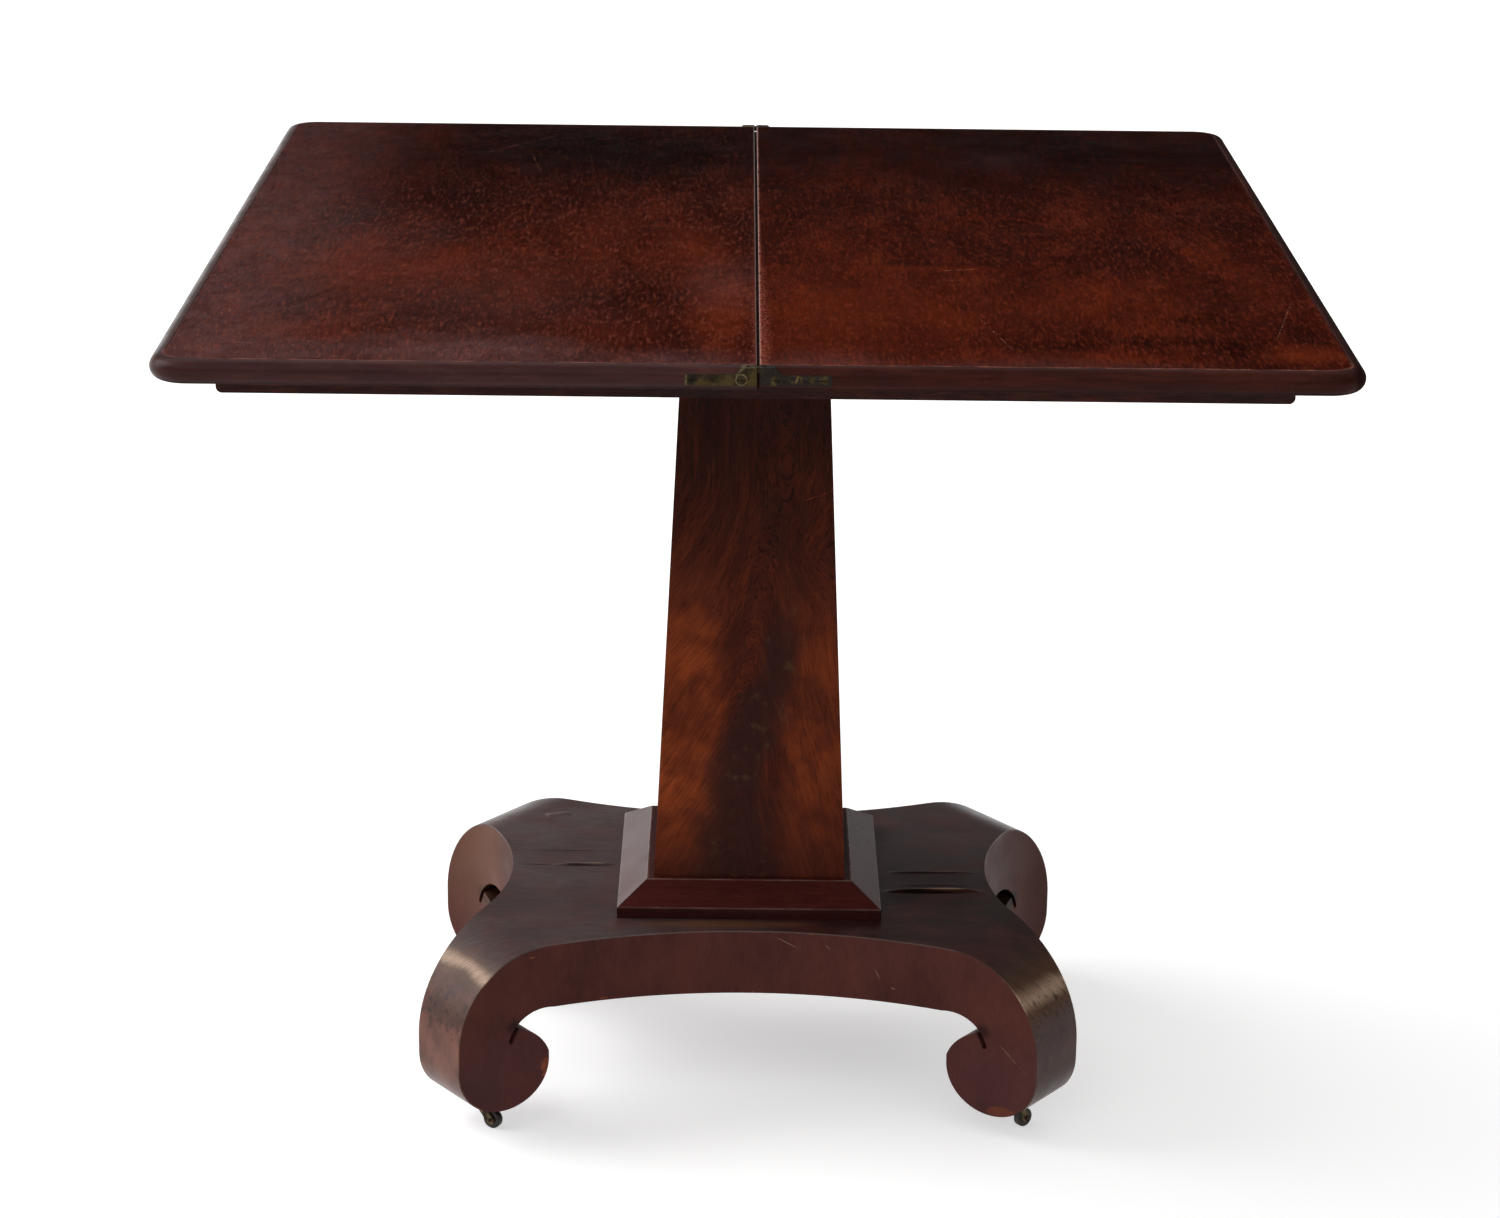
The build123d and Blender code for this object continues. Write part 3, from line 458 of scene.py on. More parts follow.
def playing_veneer(side):
    """Polished mahogany of one leaf: painted shade far back, patched with warm and dark places and painted
    haze, and worn.
    """
    colours = settings().top
    outward = -1 if side == "left" else 1
    wood = Wood("playing_veneer_" + side, colours.deep, colours.red, colours.warm, "x", "y", satin=0.08,
                shift=3.0 * outward, **LEAF_FIGURE)
    low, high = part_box("lower_leaf_playing_veneer" if side == "right" else "upper_leaf_playing_veneer")
    width, length = high.x - low.x, high.y - low.y

    def at(out, back):
        return (outward * out * width, low.y + back * length)

    def patch(out, back, wide, long, ragged, grit):
        return wood.oval((*at(out, back), high.z), (wide * width, long * length, 1), ragged=ragged, core=0.05,
                         grit=grit)

    wood.shade(wood.rise(wood.drawn(3.2, 44, detail=4.0), 0.56, 0.36), 0.4)
    # Painted shade: the leaf darkens towards the back, on the left leaf less so near its outer edge
    far = wood.rise(wood.y, low.y + 0.42 * length, low.y + 0.92 * length)
    outer = wood.rise(wood.size(wood.x), 0.95 * width, 0.55 * width)
    wood.shade(wood.times(far, outer) if side == "left" else far, 0.66)
    lines = wood.rise(wood.drawn(1.6, 200, detail=3.0), 0.3, 0.7, 0.55, 1.0)
    mottled = wood.times(lines, wood.rise(wood.cloud(16 * MM, 4.0, 7.0), 0.3, 0.7, 0.6, 1.0))
    for out, back, wide, long, amount in WARM_PATCHES[side]:
        mask = wood.times(patch(out, back, wide, long, 0.3, 30 * MM), mottled)
        wood.lay(mask, colours.warm, 0.9 * amount)
    for out, back, wide, long, amount in DARK_PATCHES[side]:
        wood.shade(patch(out, back, wide, long, 0.4, 26 * MM), amount)
    if side == "right":
        # The front third is a tone warmer up to a level line
        front = wood.rise(wood.y, low.y + 0.36 * length, low.y + 0.35 * length)
        wood.lay(wood.times(front, wood.rise(wood.x, 0.6 * width, 0.2 * width)), colours.warm, 0.14)
    else:
        # Painted haze of reflection along the outer margin
        margin = wood.times(wood.rise(wood.x, -0.66 * width, -0.98 * width),
                            wood.rise(far, 0.0, 1.0, 1.0, 0.6))
        wood.lay(wood.times(margin, mottled), colours.painted_haze, 0.45)
    # Painted haze of reflection in patches
    for out, back, wide, long, amount in PAINTED_HAZE_PATCHES[side]:
        mask = wood.times(patch(out, back, wide, long, 0.3, 40 * MM), mottled)
        wood.lay(mask, colours.painted_haze, 0.55 * amount)
    dashes = wood.rise(wood.drawn(2.6, 15, detail=4.0), 0.48, 0.72)
    wood.lay(wood.times(dashes, wood.rise(far, 0.0, 1.0, 1.0, 0.3)), DASHES[side], 0.45)
    for start, end, wide in LEAF_SCRATCHES[side]:
        wood.lay(wood.scratch(at(*start), at(*end), wide * MM), colours.wear_and_highlight, 0.35)
    paint_wear_and_highlights_on_leaf(wood, colours, side, low.y, length)
    return wood.close(gloss=0.12, depth=0.008 * MM)


def paint_wear_and_highlights_on_leaf(wood, colours, side, front_y, length):
    """Wears the seam, and lays pale lines of painted highlight and wear on the arrises at the seam and along
    the edge moulding, most of all near the front.
    """
    front = wood.rise(wood.y, front_y + 0.85 * length, front_y + 0.1 * length)
    away = wood.size(wood.x)
    wear = SEAM_WEAR[side]
    reach = wood.rise(wood.y, front_y + 0.6 * length, front_y, 6 * MM, wear["reach"])
    closeness = wood.times(wood.rise(wood.step("DIVIDE", away, reach), 0.0, 1.0, 1.0, 0.0), front)
    grit = wood.step("MULTIPLY_ADD", closeness, wear["grit"], wood.cloud(2.2 * MM, 4.0, 3.0))
    flecks = wood.times(wood.rise(grit, 0.58, 0.76), wood.rise(closeness, 0.0, 0.3))
    ruddy = wood.times(wood.rise(closeness, 0.0, 1.0), wood.rise(wood.cloud(8 * MM, 4.0, 6.0), 0.3, 0.7))
    wood.lay(ruddy, stain(124, 46, 36), wear["ruddy"])
    wood.lay(flecks, colours.wear_and_highlight, 0.35)
    # Pale line of painted highlight and wear along the seam's arris
    arris = wood.times(wood.rise(away, 3.2 * MM, 2.0 * MM), wood.rise(wood.cloud(9 * MM, 4.0), 0.35, 0.55))
    wood.lay(arris, colours.wear_and_highlight, wear["arris"])
    # Pale line of painted highlight and wear where the playing surface meets the edge moulding
    line = wood.times(wood.near(leaf_inset(wood), 11 * MM, 1.3 * MM),
                      wood.rise(wood.y, front_y + 60 * MM, front_y + 14 * MM, 0.2, 1.0))
    wood.lay(wood.times(line, wood.rise(wood.cloud(12 * MM, 3.0), 0.35, 0.65)), colours.wear_and_highlight, 0.5)
    wood.specks(front, 4 * MM, 0.004, colours.wear_and_highlight, 0.3)


def leaf_nose(side):
    """Half-round moulding of one leaf: a pale line of painted highlight and wear where it meets the playing
    surface, most at the front, and painted shade underneath and at the right leaf's outer end.
    """
    deep, red, warm, gloss = NOSE_FINISH[side]
    nose = Wood("leaf_nose_" + side, deep, red, warm, "z", "x", shift=4.0, streak=(3, 150), blotch=(12, 160),
                satin=0.3, figure=0.35, spread=0.34, wander=3, pore=0.15)
    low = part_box("lower_leaf_edge")[0]
    # Pale line of painted highlight and wear where the moulding meets the playing surface
    rubbed = nose.times(nose.rise(nose.cloud(18 * MM, 3.0), 0.35, 0.6),
                        nose.rise(nose.y, low.y + 60 * MM, low.y + 14 * MM, 0.2, 1.0))
    nose.lay(nose.times(nose.near(leaf_inset(nose), 10 * MM, 1.4 * MM), rubbed), settings().top.wear_and_highlight, 0.4)
    # Painted shade on the moulding's underside, which is also dulled
    under = nose.rise(nose.z, low.z + 5 * MM, low.z + 1 * MM)
    nose.dull(under, 0.6)
    nose.shade(under, 0.5)
    if side == "right":
        # Painted shade at the outer end of the right moulding, which is also dulled
        end = -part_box("upper_leaf_edge")[0].x
        rim = nose.rise(nose.x, end - 14 * MM, end - 6 * MM)
        nose.dull(rim, 0.6)
        nose.shade(rim, 0.5)
    return nose.close(gloss=gloss, depth=0.012 * MM)


class DressTop(bpy.types.Operator):
    """Polishes the two leaves, with their patches, painted haze, worn seam and half-round edges."""

    bl_idname = "games_table.dress_top"
    bl_label = "Polish the leaves"

    def execute(self, context):
        colours = settings().top
        finish_nodes(playing_veneer("right"), "lower_leaf_playing_veneer")
        finish_nodes(playing_veneer("left"), "upper_leaf_playing_veneer")
        show = Wood("show_veneer", colours.deep, colours.red, colours.warm, "x", "y", satin=0.2, shift=9.0,
                    **LEAF_FIGURE)
        finish_nodes(show.close(gloss=0.2, depth=0.008 * MM), "upper_leaf_show_veneer")
        finish_nodes(leaf_nose("right"), "lower_leaf_edge")
        finish_nodes(leaf_nose("left"), "upper_leaf_edge")
        under = Wood("leaf_underside", stain(40, 24, 17), colours.under, stain(78, 50, 34), "x", "y",
                     satin=0.6)
        finish_nodes(under.close(gloss=0.05), "lower_leaf_core", "upper_leaf_core")
        return {"FINISHED"}


class DressFrame(bpy.types.Operator):
    """Stains the rails of the frame, and leaves the well, its ledgers and blocks plain inside."""

    bl_idname = "games_table.dress_frame"
    bl_label = "Stain the frame"

    def execute(self, context):
        colours = settings().pedestal
        for name, axis in (("front", "x"), ("back", "x"), ("left", "y"), ("right", "y")):
            rail = Wood("rail_" + name, stain(24, 11, 10), colours.frame, stain(76, 34, 24), "z", axis,
                        shift=len(name), satin=0.4)
            finish_nodes(rail.close(gloss=0.08), f"frame_{name}_rail")
        inside = Wood("secondary_wood", stain(84, 58, 38), colours.inside, stain(146, 108, 74), "y", "x",
                      satin=0.65)
        finish_nodes(inside.close(gloss=0.1), "frame_bearer", "pivot_rail", "well_bottom", "well_ledgers",
                     "frame_corner_blocks", "column_top_block", "column_bottom_block")
        round_edges(0.8 * MM, *(f"frame_{name}_rail" for name in SIDES))
        return {"FINISHED"}


class Flame(Grained):
    """A column board. turn brings the board's own width onto X; the heart's apex is a height."""

    def __init__(self, name, colours, turn, apex, shift):
        super().__init__(name, shift)
        wide, deep, tall = self.split(self.node("Mapping", {0: self.place, 2: (0, 0, turn)}).outputs[0])
        below = self.step("SMOOTH_MAX", self.minus(apex, tall), 0.0, 60 * MM)
        side = self.step("SMOOTH_MAX", wide, self.times(wide, -1.0), 20 * MM)
        self.lay_grain(wide, tall, below, side, deep, apex)
        broad = self.drawn(12, 70, detail=4.0)
        fine = self.drawn(1.4, 15, detail=5.0)
        both = self.step("MULTIPLY_ADD", fine, 0.4, self.times(broad, 0.6))
        self.colour = self.ramp(both, (0.18, colours.column_deep), (0.5, colours.column_red),
                                (0.84, colours.column_warm))
        pores = self.rise(self.drawn(1.0, 8, detail=2.0), 0.54, 0.66)
        self.polish(self.drawn(0.9, 16, detail=3.0), pores, 0.3, 0.6, 0.375)
        self.light_flame(colours, wide, tall, side, apex)
        self.darken_heart(wide, tall, below, apex)
        # Painted shade under the overhanging top: the board darkens towards its top
        self.shade(self.rise(tall, apex + 20 * MM, apex + 190 * MM), 0.66)
        self.lay(self.rise(tall, apex - 110 * MM, apex - 195 * MM), stain(44, 16, 12), 0.4)

    def lay_grain(self, wide, tall, below, side, deep, apex):
        """Grain that fans out from the heart below the apex and leans over at the left above it."""
        slope = self.rise(wide, -20 * MM, 20 * MM, 0.62, 0.24)
        fan = self.minus(side, self.times(below, slope))
        lean = self.times(self.rise(tall, apex - 30 * MM, apex + 150 * MM, 0.0, 95 * MM),
                          self.rise(wide, 40 * MM, -40 * MM))
        swirl = self.knot(wide, tall, (46 * MM, apex + 72 * MM), 34 * MM)
        across = self.stray(self.plus(fan, lean, swirl), self.cloud(80 * MM, 1.0, self.shift), 18 * MM)
        other_half = self.rise(wide, -30 * MM, 30 * MM, 0.0, 14 * MM)
        self.grain = self.combine(across, tall, self.step("MULTIPLY_ADD", deep, 0.1, other_half))

    def knot(self, wide, tall, centre, reach):
        """How far a small knot at one place of the board pushes the grain aside."""
        over = self.step("DIVIDE", self.minus(wide, centre[0]), reach)
        up = self.step("DIVIDE", self.minus(tall, centre[1]), 1.6 * reach)
        away = self.length(self.combine(over, up, 0.0))
        return self.times(self.rise(away, 0.0, 1.0, 1.0, 0.0), 0.5 * reach)

    def light_flame(self, colours, wide, tall, side, apex):
        """Orange flame on both sides of the heart, strongest at the left."""
        glow = self.times(self.rise(tall, apex + 90 * MM, apex - 30 * MM),
                          self.rise(tall, apex - 240 * MM, apex - 130 * MM))
        patchy = self.times(self.rise(self.cloud(30 * MM, 4.0, self.shift + 4), 0.35, 0.65, 0.3, 1.0),
                            self.rise(self.drawn(1.8, 22, detail=4.0), 0.3, 0.65, 0.45, 1.0))
        flank = self.times(self.rise(side, 12 * MM, 45 * MM), self.rise(wide, 60 * MM, -40 * MM, 0.4, 0.85))
        bright = self.mix(0.35, colours.column_warm, stain(196, 92, 44))
        self.lay(self.times(glow, patchy, flank), bright, 1.0)

    def darken_heart(self, wide, tall, below, apex):
        """The dark heart that widens downward, with an olive tinge in its middle."""
        lean = self.plus(wide, self.rise(self.minus(apex, tall), 0.0, 130 * MM, -26 * MM, 14 * MM))
        broken = self.stray(self.size(lean), self.cloud(26 * MM, 4.0, self.shift), 34 * MM)
        half = self.step("MULTIPLY_ADD", below, 0.11, 13 * MM)
        heart = self.times(self.rise(self.step("DIVIDE", broken, half), 1.6, 0.4),
                           self.rise(tall, apex + 70 * MM, apex - 10 * MM))
        self.lay(self.times(heart, self.rise(self.drawn(1.6, 26, detail=4.0), 0.3, 0.7, 1.0, 0.75)),
                 stain(46, 25, 23), 0.85)
        olive = self.rise(self.cloud(11 * MM, 3.0, self.shift + 2), 0.56, 0.74)
        self.lay(self.times(heart, olive), stain(96, 74, 44), 0.35)


# Where the heart of the figure begins, as a share of the column's height
HEART_APEX = 0.49
COLUMN_SCRATCH = ((38, 517), (66, 527), 0.8)


def column_veneer(name, turn, shift):
    """Crotch mahogany: a dark heart that widens downward, with orange flame on both sides."""
    colours = settings().pedestal
    low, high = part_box("column_front_board")
    apex = low.z + HEART_APEX * (high.z - low.z)
    board = Flame(name, colours, turn, apex, shift)
    if name == "column_front":
        board.lay(board.upright_scratch(*COLUMN_SCRATCH), colours.column_warm, 0.8)
    return board.close(gloss=0.045, depth=0.02 * MM)


def plinth_moulding(side, shift):
    """One mitred length round the column's foot, with pale lines of painted highlight and wear along its two
    arrises and painted shade on its fascia.
    """
    colours = settings().pedestal
    low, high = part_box(f"plinth_{side}_moulding")
    fascia_top = low.z + 9.4 * MM

    def out_from_column(wood):
        return wood.larger(wood.size(wood.x), wood.size(wood.y))

    def girth(wood):
        """Distance round the moulding's section: up its fascia, then in and up its slope."""
        return wood.minus(wood.z, out_from_column(wood))

    wood = Wood("plinth_" + side, stain(40, 16, 14), colours.plinth, stain(88, 38, 31), girth,
                "x" if side in ("front", "back") else "y", streak=(2.0, 120), shift=shift, satin=0.24,
                figure=0.35, spread=0.26, pore=0.2)
    out = out_from_column(wood)
    # Pale lines of painted highlight and wear along the outer and inner arrises
    outer = wood.times(wood.near(wood.z, fascia_top, 1.0 * MM), wood.rise(out, 108 * MM, 109.5 * MM))
    inner = wood.times(wood.near(wood.z, high.z, 0.8 * MM), wood.rise(out, 84.5 * MM, 85.5 * MM))
    broken = wood.rise(wood.cloud(20 * MM, 2.0), 0.3, 0.7, 0.4, 1.0)
    wood.lay(wood.times(wood.larger(wood.times(outer, 0.6), inner), broken), stain(150, 122, 114), 0.45)
    mitre = wood.minus(wood.size(wood.x), wood.size(wood.y))
    wood.lay(wood.near(mitre, 0.0, 0.7 * MM), stain(24, 12, 11), 0.7)
    # Painted shade on the upright fascia
    wood.shade(wood.rise(wood.z, fascia_top, fascia_top - 0.4 * MM), 0.4)
    return wood.close(gloss=0.2 if side == "left" else 0.12, depth=0.006 * MM)


class DressColumn(bpy.types.Operator):
    """Veneers the four boards of the column and polishes the moulding round its foot."""

    bl_idname = "games_table.dress_column"
    bl_label = "Veneer the column"

    def execute(self, context):
        for count, side in enumerate(SIDES):
            board = column_veneer("column_" + side, -count * math.pi / 2, 2.0 + count)
            finish_nodes(board, f"column_{side}_board")
            finish_nodes(plinth_moulding(side, 7.0 + count), f"plinth_{side}_moulding")
        round_edges(0.7 * MM, *(f"column_{side}_board" for side in SIDES))
        return {"FINISHED"}


# Chips in the base: centre and reach in millimetres, and strength.
BASE_CHIPS = (((-168, -200, 57), (6, 40, 16), 1.0), ((212, -200, 29), (15, 40, 6.5), 0.42),
              ((-178, -150, 157), (5, 40, 1.2), 0.6), ((7, -138, 165.2), (8, 30, 0.9), 0.6),
              ((52, -139, 165.2), (3, 30, 1.2), 0.5), ((-120, -150, 112), (4, 40, 0.8), 0.4))
# Scratches on the base's front: start and end as x and z, and width, in millimetres.
BASE_SCRATCHES = (((18, 163), (44, 150), 0.6), ((63, 156), (69, 152), 0.6), ((110, 128), (104, 140), 0.7),
                  ((205, 92), (232, 66), 0.7), ((118, 124), (122, 122), 1.2))


def paint_shade_in_back_holes(wood):
    """Painted shade in the holes of the two back scrolls, which show dark from the front."""
    for side in (-1, 1):
        wood.shade(wood.oval(mm(side * 231, 150, 94), mm(15, 80, 12), core=0.7), 0.93)


def upright_veneer():
    """Reddish-brown veneer on the upright faces of the base, with raw chips, scratches, and painted light and
    shade.
    """
    colours = settings().pedestal
    wood = Wood("base_upright", stain(50, 26, 23), colours.base, stain(92, 47, 38), "x", "z", blotch=(34, 60),
                streak=(1.6, 90), satin=0.42, shift=1.5, figure=0.3, spread=0.28, pore=0.12)
    broken = wood.rise(wood.drawn(1.5, 14, detail=3.0), 0.35, 0.6, 0.5, 1.0)
    for centre, reach, amount in BASE_CHIPS:
        mask = wood.oval(mm(*centre), mm(*reach), ragged=0.3, core=0.75, grit=4 * MM)
        wood.lay(wood.times(mask, broken), colours.raw, amount)
        wood.dull(mask, 0.3)
    # Painted reflection: a greyish-pink tint low on the front faces
    low_down = wood.rise(wood.z, 120 * MM, 60 * MM)
    wood.lay(wood.times(low_down, wood.rise(wood.y, -60 * MM, -120 * MM)), stain(84, 54, 58), 0.3)
    # Painted shade in the dark notch low on the front-left foot
    wood.shade(wood.oval(mm(-274, -150, 60), mm(9, 90, 9), ragged=0.3, core=0.2, grit=8 * MM), 0.5)
    paint_shade_in_back_holes(wood)
    # Painted shade round the notches of the two front feet
    for side in (-1, 1):
        wood.shade(wood.oval(mm(side * 193, -190, 98), mm(9, 90, 9), ragged=0.2, core=0.2), 0.6)
    for start, end, wide in BASE_SCRATCHES:
        wood.lay(wood.upright_scratch(start, end, wide), colours.shoulder, 0.4)
    # Painted light: the back feet's faces made paler, most of all at the left
    face = wood.times(wood.rise(wood.y, 60 * MM, 110 * MM), wood.rise(wood.z, 30 * MM, 130 * MM))
    wood.lay(wood.times(face, wood.rise(wood.x, 150 * MM, -150 * MM, 0.3, 1.0)), stain(118, 82, 62), 0.5)
    return wood.close(gloss=0.08, depth=0.015 * MM)


# Swellings of the platform's veneer: centre, reach and height in millimetres.
LIFTED_VENEER = (((-142, 9), (32, 3.2), 1.9), ((-181, 9), (20, 2), 0.5), ((157, -44), (47, 5), 3.0),
                 ((158, -1), (44, 3.2), 1.4), ((160, -30), (40, 2), 0.5), ((-171, 128), (13, 9), 1.8),
                 ((-164, 42), (38, 1.6), 0.4))
# The long ones, with painted highlight along their crests and painted shadow in front of them
SWELLINGS_WITH_PAINTED_LIGHT = (LIFTED_VENEER[0], LIFTED_VENEER[2], LIFTED_VENEER[3])


def swelling(name, centre, reach, height):
    """A low closed swelling, long in X, that rises smoothly out of a level surface."""
    steps_x, steps_y, sunk = 40, 16, 0.2 * MM
    mesh = bpy.data.meshes.new(name)
    form = bmesh.new()

    def point(i, j):
        along, across = 2 * i / steps_x - 1, 2 * j / steps_y - 1
        bulge = (1 - along ** 4) ** 2 * math.cos(math.pi / 2 * across) ** 2
        bend = 0.25 * reach[1] * math.sin(2.4 * along)
        return form.verts.new((centre[0] + along * reach[0], centre[1] + across * reach[1] + bend,
                               centre[2] - sunk + (height + sunk) * bulge))

    rows = [[point(i, j) for j in range(steps_y + 1)] for i in range(steps_x + 1)]
    for near_row, far_row in zip(rows, rows[1:]):
        for j in range(steps_y):
            form.faces.new((near_row[j], far_row[j], far_row[j + 1], near_row[j + 1])).smooth = True
    rim = ([row[0] for row in rows] + rows[-1][1:] + [row[-1] for row in reversed(rows[:-1])]
           + list(reversed(rows[0][1:-1])))
    form.faces.new(list(reversed(rim)))
    form.to_mesh(mesh)
    form.free()
    piece = bpy.data.objects.new(name, mesh)
    bpy.context.scene.collection.objects.link(piece)
    return piece


def bent_run(wood):
    """Length along the veneer of the base: outward over the platform, then down round the scroll."""
    return wood.minus(wood.size(wood.x), wood.z)


def base_veneer():
    """Satin veneer that runs along the platform and on down over the scrolls."""
    colours = settings().pedestal
    wood = Wood("base_veneer", stain(30, 14, 12), colours.base_top, stain(76, 42, 35), "y", bent_run,
                blotch=(24, 170), streak=(1.8, 120), satin=0.34, shift=6.0, figure=0.5, spread=0.24, pore=0.2)
    paint_sheen_over_platform(wood, colours)
    age_scrolls(wood, colours)
    return wood.close(gloss=0.17, depth=0.02 * MM)


def paint_sheen_over_platform(wood, colours):
    """Painted grey sheen over the platform, most of all at the left and the back, and a bare strip at the
    front.
    """
    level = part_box("platform_veneer")[1].z
    top = wood.rise(wood.z, 140 * MM, 160 * MM)
    left = wood.rise(wood.x, 130 * MM, -120 * MM)
    back = wood.rise(wood.y, -70 * MM, 60 * MM)
    lines = wood.rise(wood.drawn(1.6, 90, detail=4.0), 0.32, 0.68, 0.55, 1.0)
    cloudy = wood.times(wood.rise(wood.cloud(60 * MM, 4.0, 2.0), 0.3, 0.7, 0.65, 1.0), lines)
    share = wood.smaller(wood.plus(wood.times(left, 0.7), wood.times(back, 0.55)), 1.0)
    wood.lay(wood.times(share, cloudy, top), colours.painted_sheen, 0.8)
    ruddy = wood.times(wood.rise(wood.cloud(34 * MM, 4.0, 5.0), 0.45, 0.65), top)
    wood.lay(ruddy, stain(92, 44, 38), 0.3)
    strip = wood.oval((*mm(-20, -121), level), (*mm(84, 9), ANY_DEPTH), ragged=0.25, core=0.6, grit=14 * MM)
    wood.lay(wood.times(strip, lines), stain(104, 66, 38), 0.6)
    crease = wood.times(wood.near(wood.y, 42 * MM, 1.2 * MM), wood.rise(wood.x, -100 * MM, -120 * MM))
    wood.lay(crease, stain(24, 14, 12), 0.5)
    # Painted shadow in front of each long swelling and painted highlight along its crest
    for centre, reach, height in SWELLINGS_WITH_PAINTED_LIGHT:
        before = (*mm(centre[0], centre[1] - 0.75 * reach[1]), level)
        wood.shade(wood.oval(before, (*mm(0.95 * reach[0], 0.5 * reach[1]), ANY_DEPTH), core=0.4),
                   0.3 * height)
        crest = wood.rise(wood.z, level + 0.6 * height * MM, level + 0.9 * height * MM)
        along = wood.oval((*mm(centre[0], centre[1] + 0.4), level),
                          (*mm(reach[0], 0.4 * reach[1]), ANY_DEPTH))
        wood.lay(wood.times(crest, along), colours.shoulder, 0.22 * height)
    # Painted highlight on the veneer's upright edge at the platform's rim
    upright = wood.split(wood.node("NewGeometry").outputs["Normal"])[2]
    rim = wood.times(wood.rise(wood.size(upright), 0.7, 0.3), wood.rise(wood.z, 164.6 * MM, 165 * MM))
    wood.lay(rim, stain(120, 104, 96), 0.25)


def age_scrolls(wood, colours):
    """Mottled brown down the scrolls, with painted sheen on their shoulders, painted light at the left,
    painted shade in the back holes, and pitted near the front edge.
    """
    side = wood.rise(wood.z, 158 * MM, 120 * MM)
    mottle = wood.rise(wood.cloud(24 * MM, 5.0, 8.0), 0.3, 0.7, 0.35, 1.0)
    lines = wood.rise(wood.drawn(1.8, 60, detail=4.0), 0.3, 0.66, 0.7, 1.0)
    # Painted light: the scrolls at the left take more of the paler colour
    lit = wood.rise(wood.x, 120 * MM, -120 * MM, 0.3, 0.95)
    patchy = wood.times(mottle, lines, lit)
    wood.lay(wood.times(side, patchy), colours.scroll, 1.0)
    # Painted sheen along the scrolls' shoulders: a pale core in a golden halo, strongest at the front
    level = wood.rise(wood.x, -200 * MM, 200 * MM, 145 * MM, 131 * MM)
    height = wood.stray(wood.z, wood.cloud(50 * MM, 2.0), 12 * MM)
    away = wood.size(wood.minus(height, level))
    halo = wood.rise(away, 0.0, wood.rise(wood.x, -200 * MM, 200 * MM, 13 * MM, 30 * MM), 1.0, 0.0)
    core = wood.rise(away, 0.0, wood.rise(wood.x, -200 * MM, 200 * MM, 6 * MM, 10 * MM), 1.0, 0.0)
    rubbed = wood.rise(wood.drawn(1.2, 24, detail=4.0), 0.3, 0.65, 0.5, 1.0)
    forward = wood.rise(wood.y, 60 * MM, -180 * MM, 0.15, 1.0)
    wood.lay(wood.times(halo, rubbed, forward), stain(120, 92, 66), 0.5)
    wood.lay(wood.times(core, rubbed, forward), colours.shoulder, 0.85)
    wood.shade(wood.times(wood.near(wood.z, 116 * MM, 18 * MM), wood.rise(wood.x, 0.0, -100 * MM)), 0.3)
    paint_shade_in_back_holes(wood)
    pits = wood.rise(wood.cloud(5 * MM, 5.0, 3.0), 0.54, 0.62)
    wood.shade(wood.times(pits, wood.near(wood.z, 112 * MM, 30 * MM)), 0.5)


class DressBase(bpy.types.Operator):
    """Finishes the platform, the four scroll feet and the veneer bent over them."""

    bl_idname = "games_table.dress_base"
    bl_label = "Finish the base"

    def execute(self, context):
        finish_nodes(upright_veneer(), "platform_core", *(f"scroll_foot_{corner}" for corner in CORNERS))
        veneer = base_veneer()
        finish_nodes(veneer, "platform_veneer", "foot_veneers")
        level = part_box("platform_veneer")[1].z
        for count, (centre, reach, height) in enumerate(LIFTED_VENEER):
            piece = swelling(f"lifted_veneer_{count + 1}", (*mm(*centre), level), mm(*reach), height * MM)
            piece.data.materials.append(veneer)
            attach(piece, "pedestal")
        return {"FINISHED"}


class DressMetal(bpy.types.Operator):
    """Tarnishes the hinges, pivot, screws and casters."""

    bl_idname = "games_table.dress_metal"
    bl_label = "Tarnish the metal"

    def execute(self, context):
        colours = settings().metal
        left = metal("hinge_brass_left", colours.brass, stain(34, 27, 18), 0.5, dirt_share=0.45,
                     marks=mark_left_plate)
        finish_nodes(left, "upper_hinge_plates", "hinge_links", "lower_hinge_pins", "upper_hinge_pins")
        right = metal("hinge_brass_right", colours.brass, stain(38, 31, 28), 0.55, dirt_share=1.0,
                      marks=mark_right_plate)
        finish_nodes(right, "lower_hinge_plates")
        screws = metal("hinge_screw", stain(70, 58, 34), stain(30, 24, 18), 0.5)
        finish_nodes(screws, "lower_hinge_screws", "upper_hinge_screws")
        iron = metal("iron", colours.iron, stain(62, 40, 28), 0.6)
        finish_nodes(iron, "pivot_plate", "pivot_bolt", "pivot_washer", "pivot_nut", "pivot_plate_screws",
                     "column_top_screws", "column_bottom_screws",
                     *(f"caster_axle_{corner}" for corner in CORNERS))
        brass = metal("caster_brass", colours.caster, stain(40, 33, 25), 0.4)
        finish_nodes(brass, "caster_sockets", *(f"caster_fork_{corner}" for corner in CORNERS))
        wheel = metal("caster_wheel", colours.wheel, stain(44, 38, 33), 0.45, metal_share=0.3)
        finish_nodes(wheel, *(f"caster_wheel_{corner}" for corner in CORNERS))
        return {"FINISHED"}


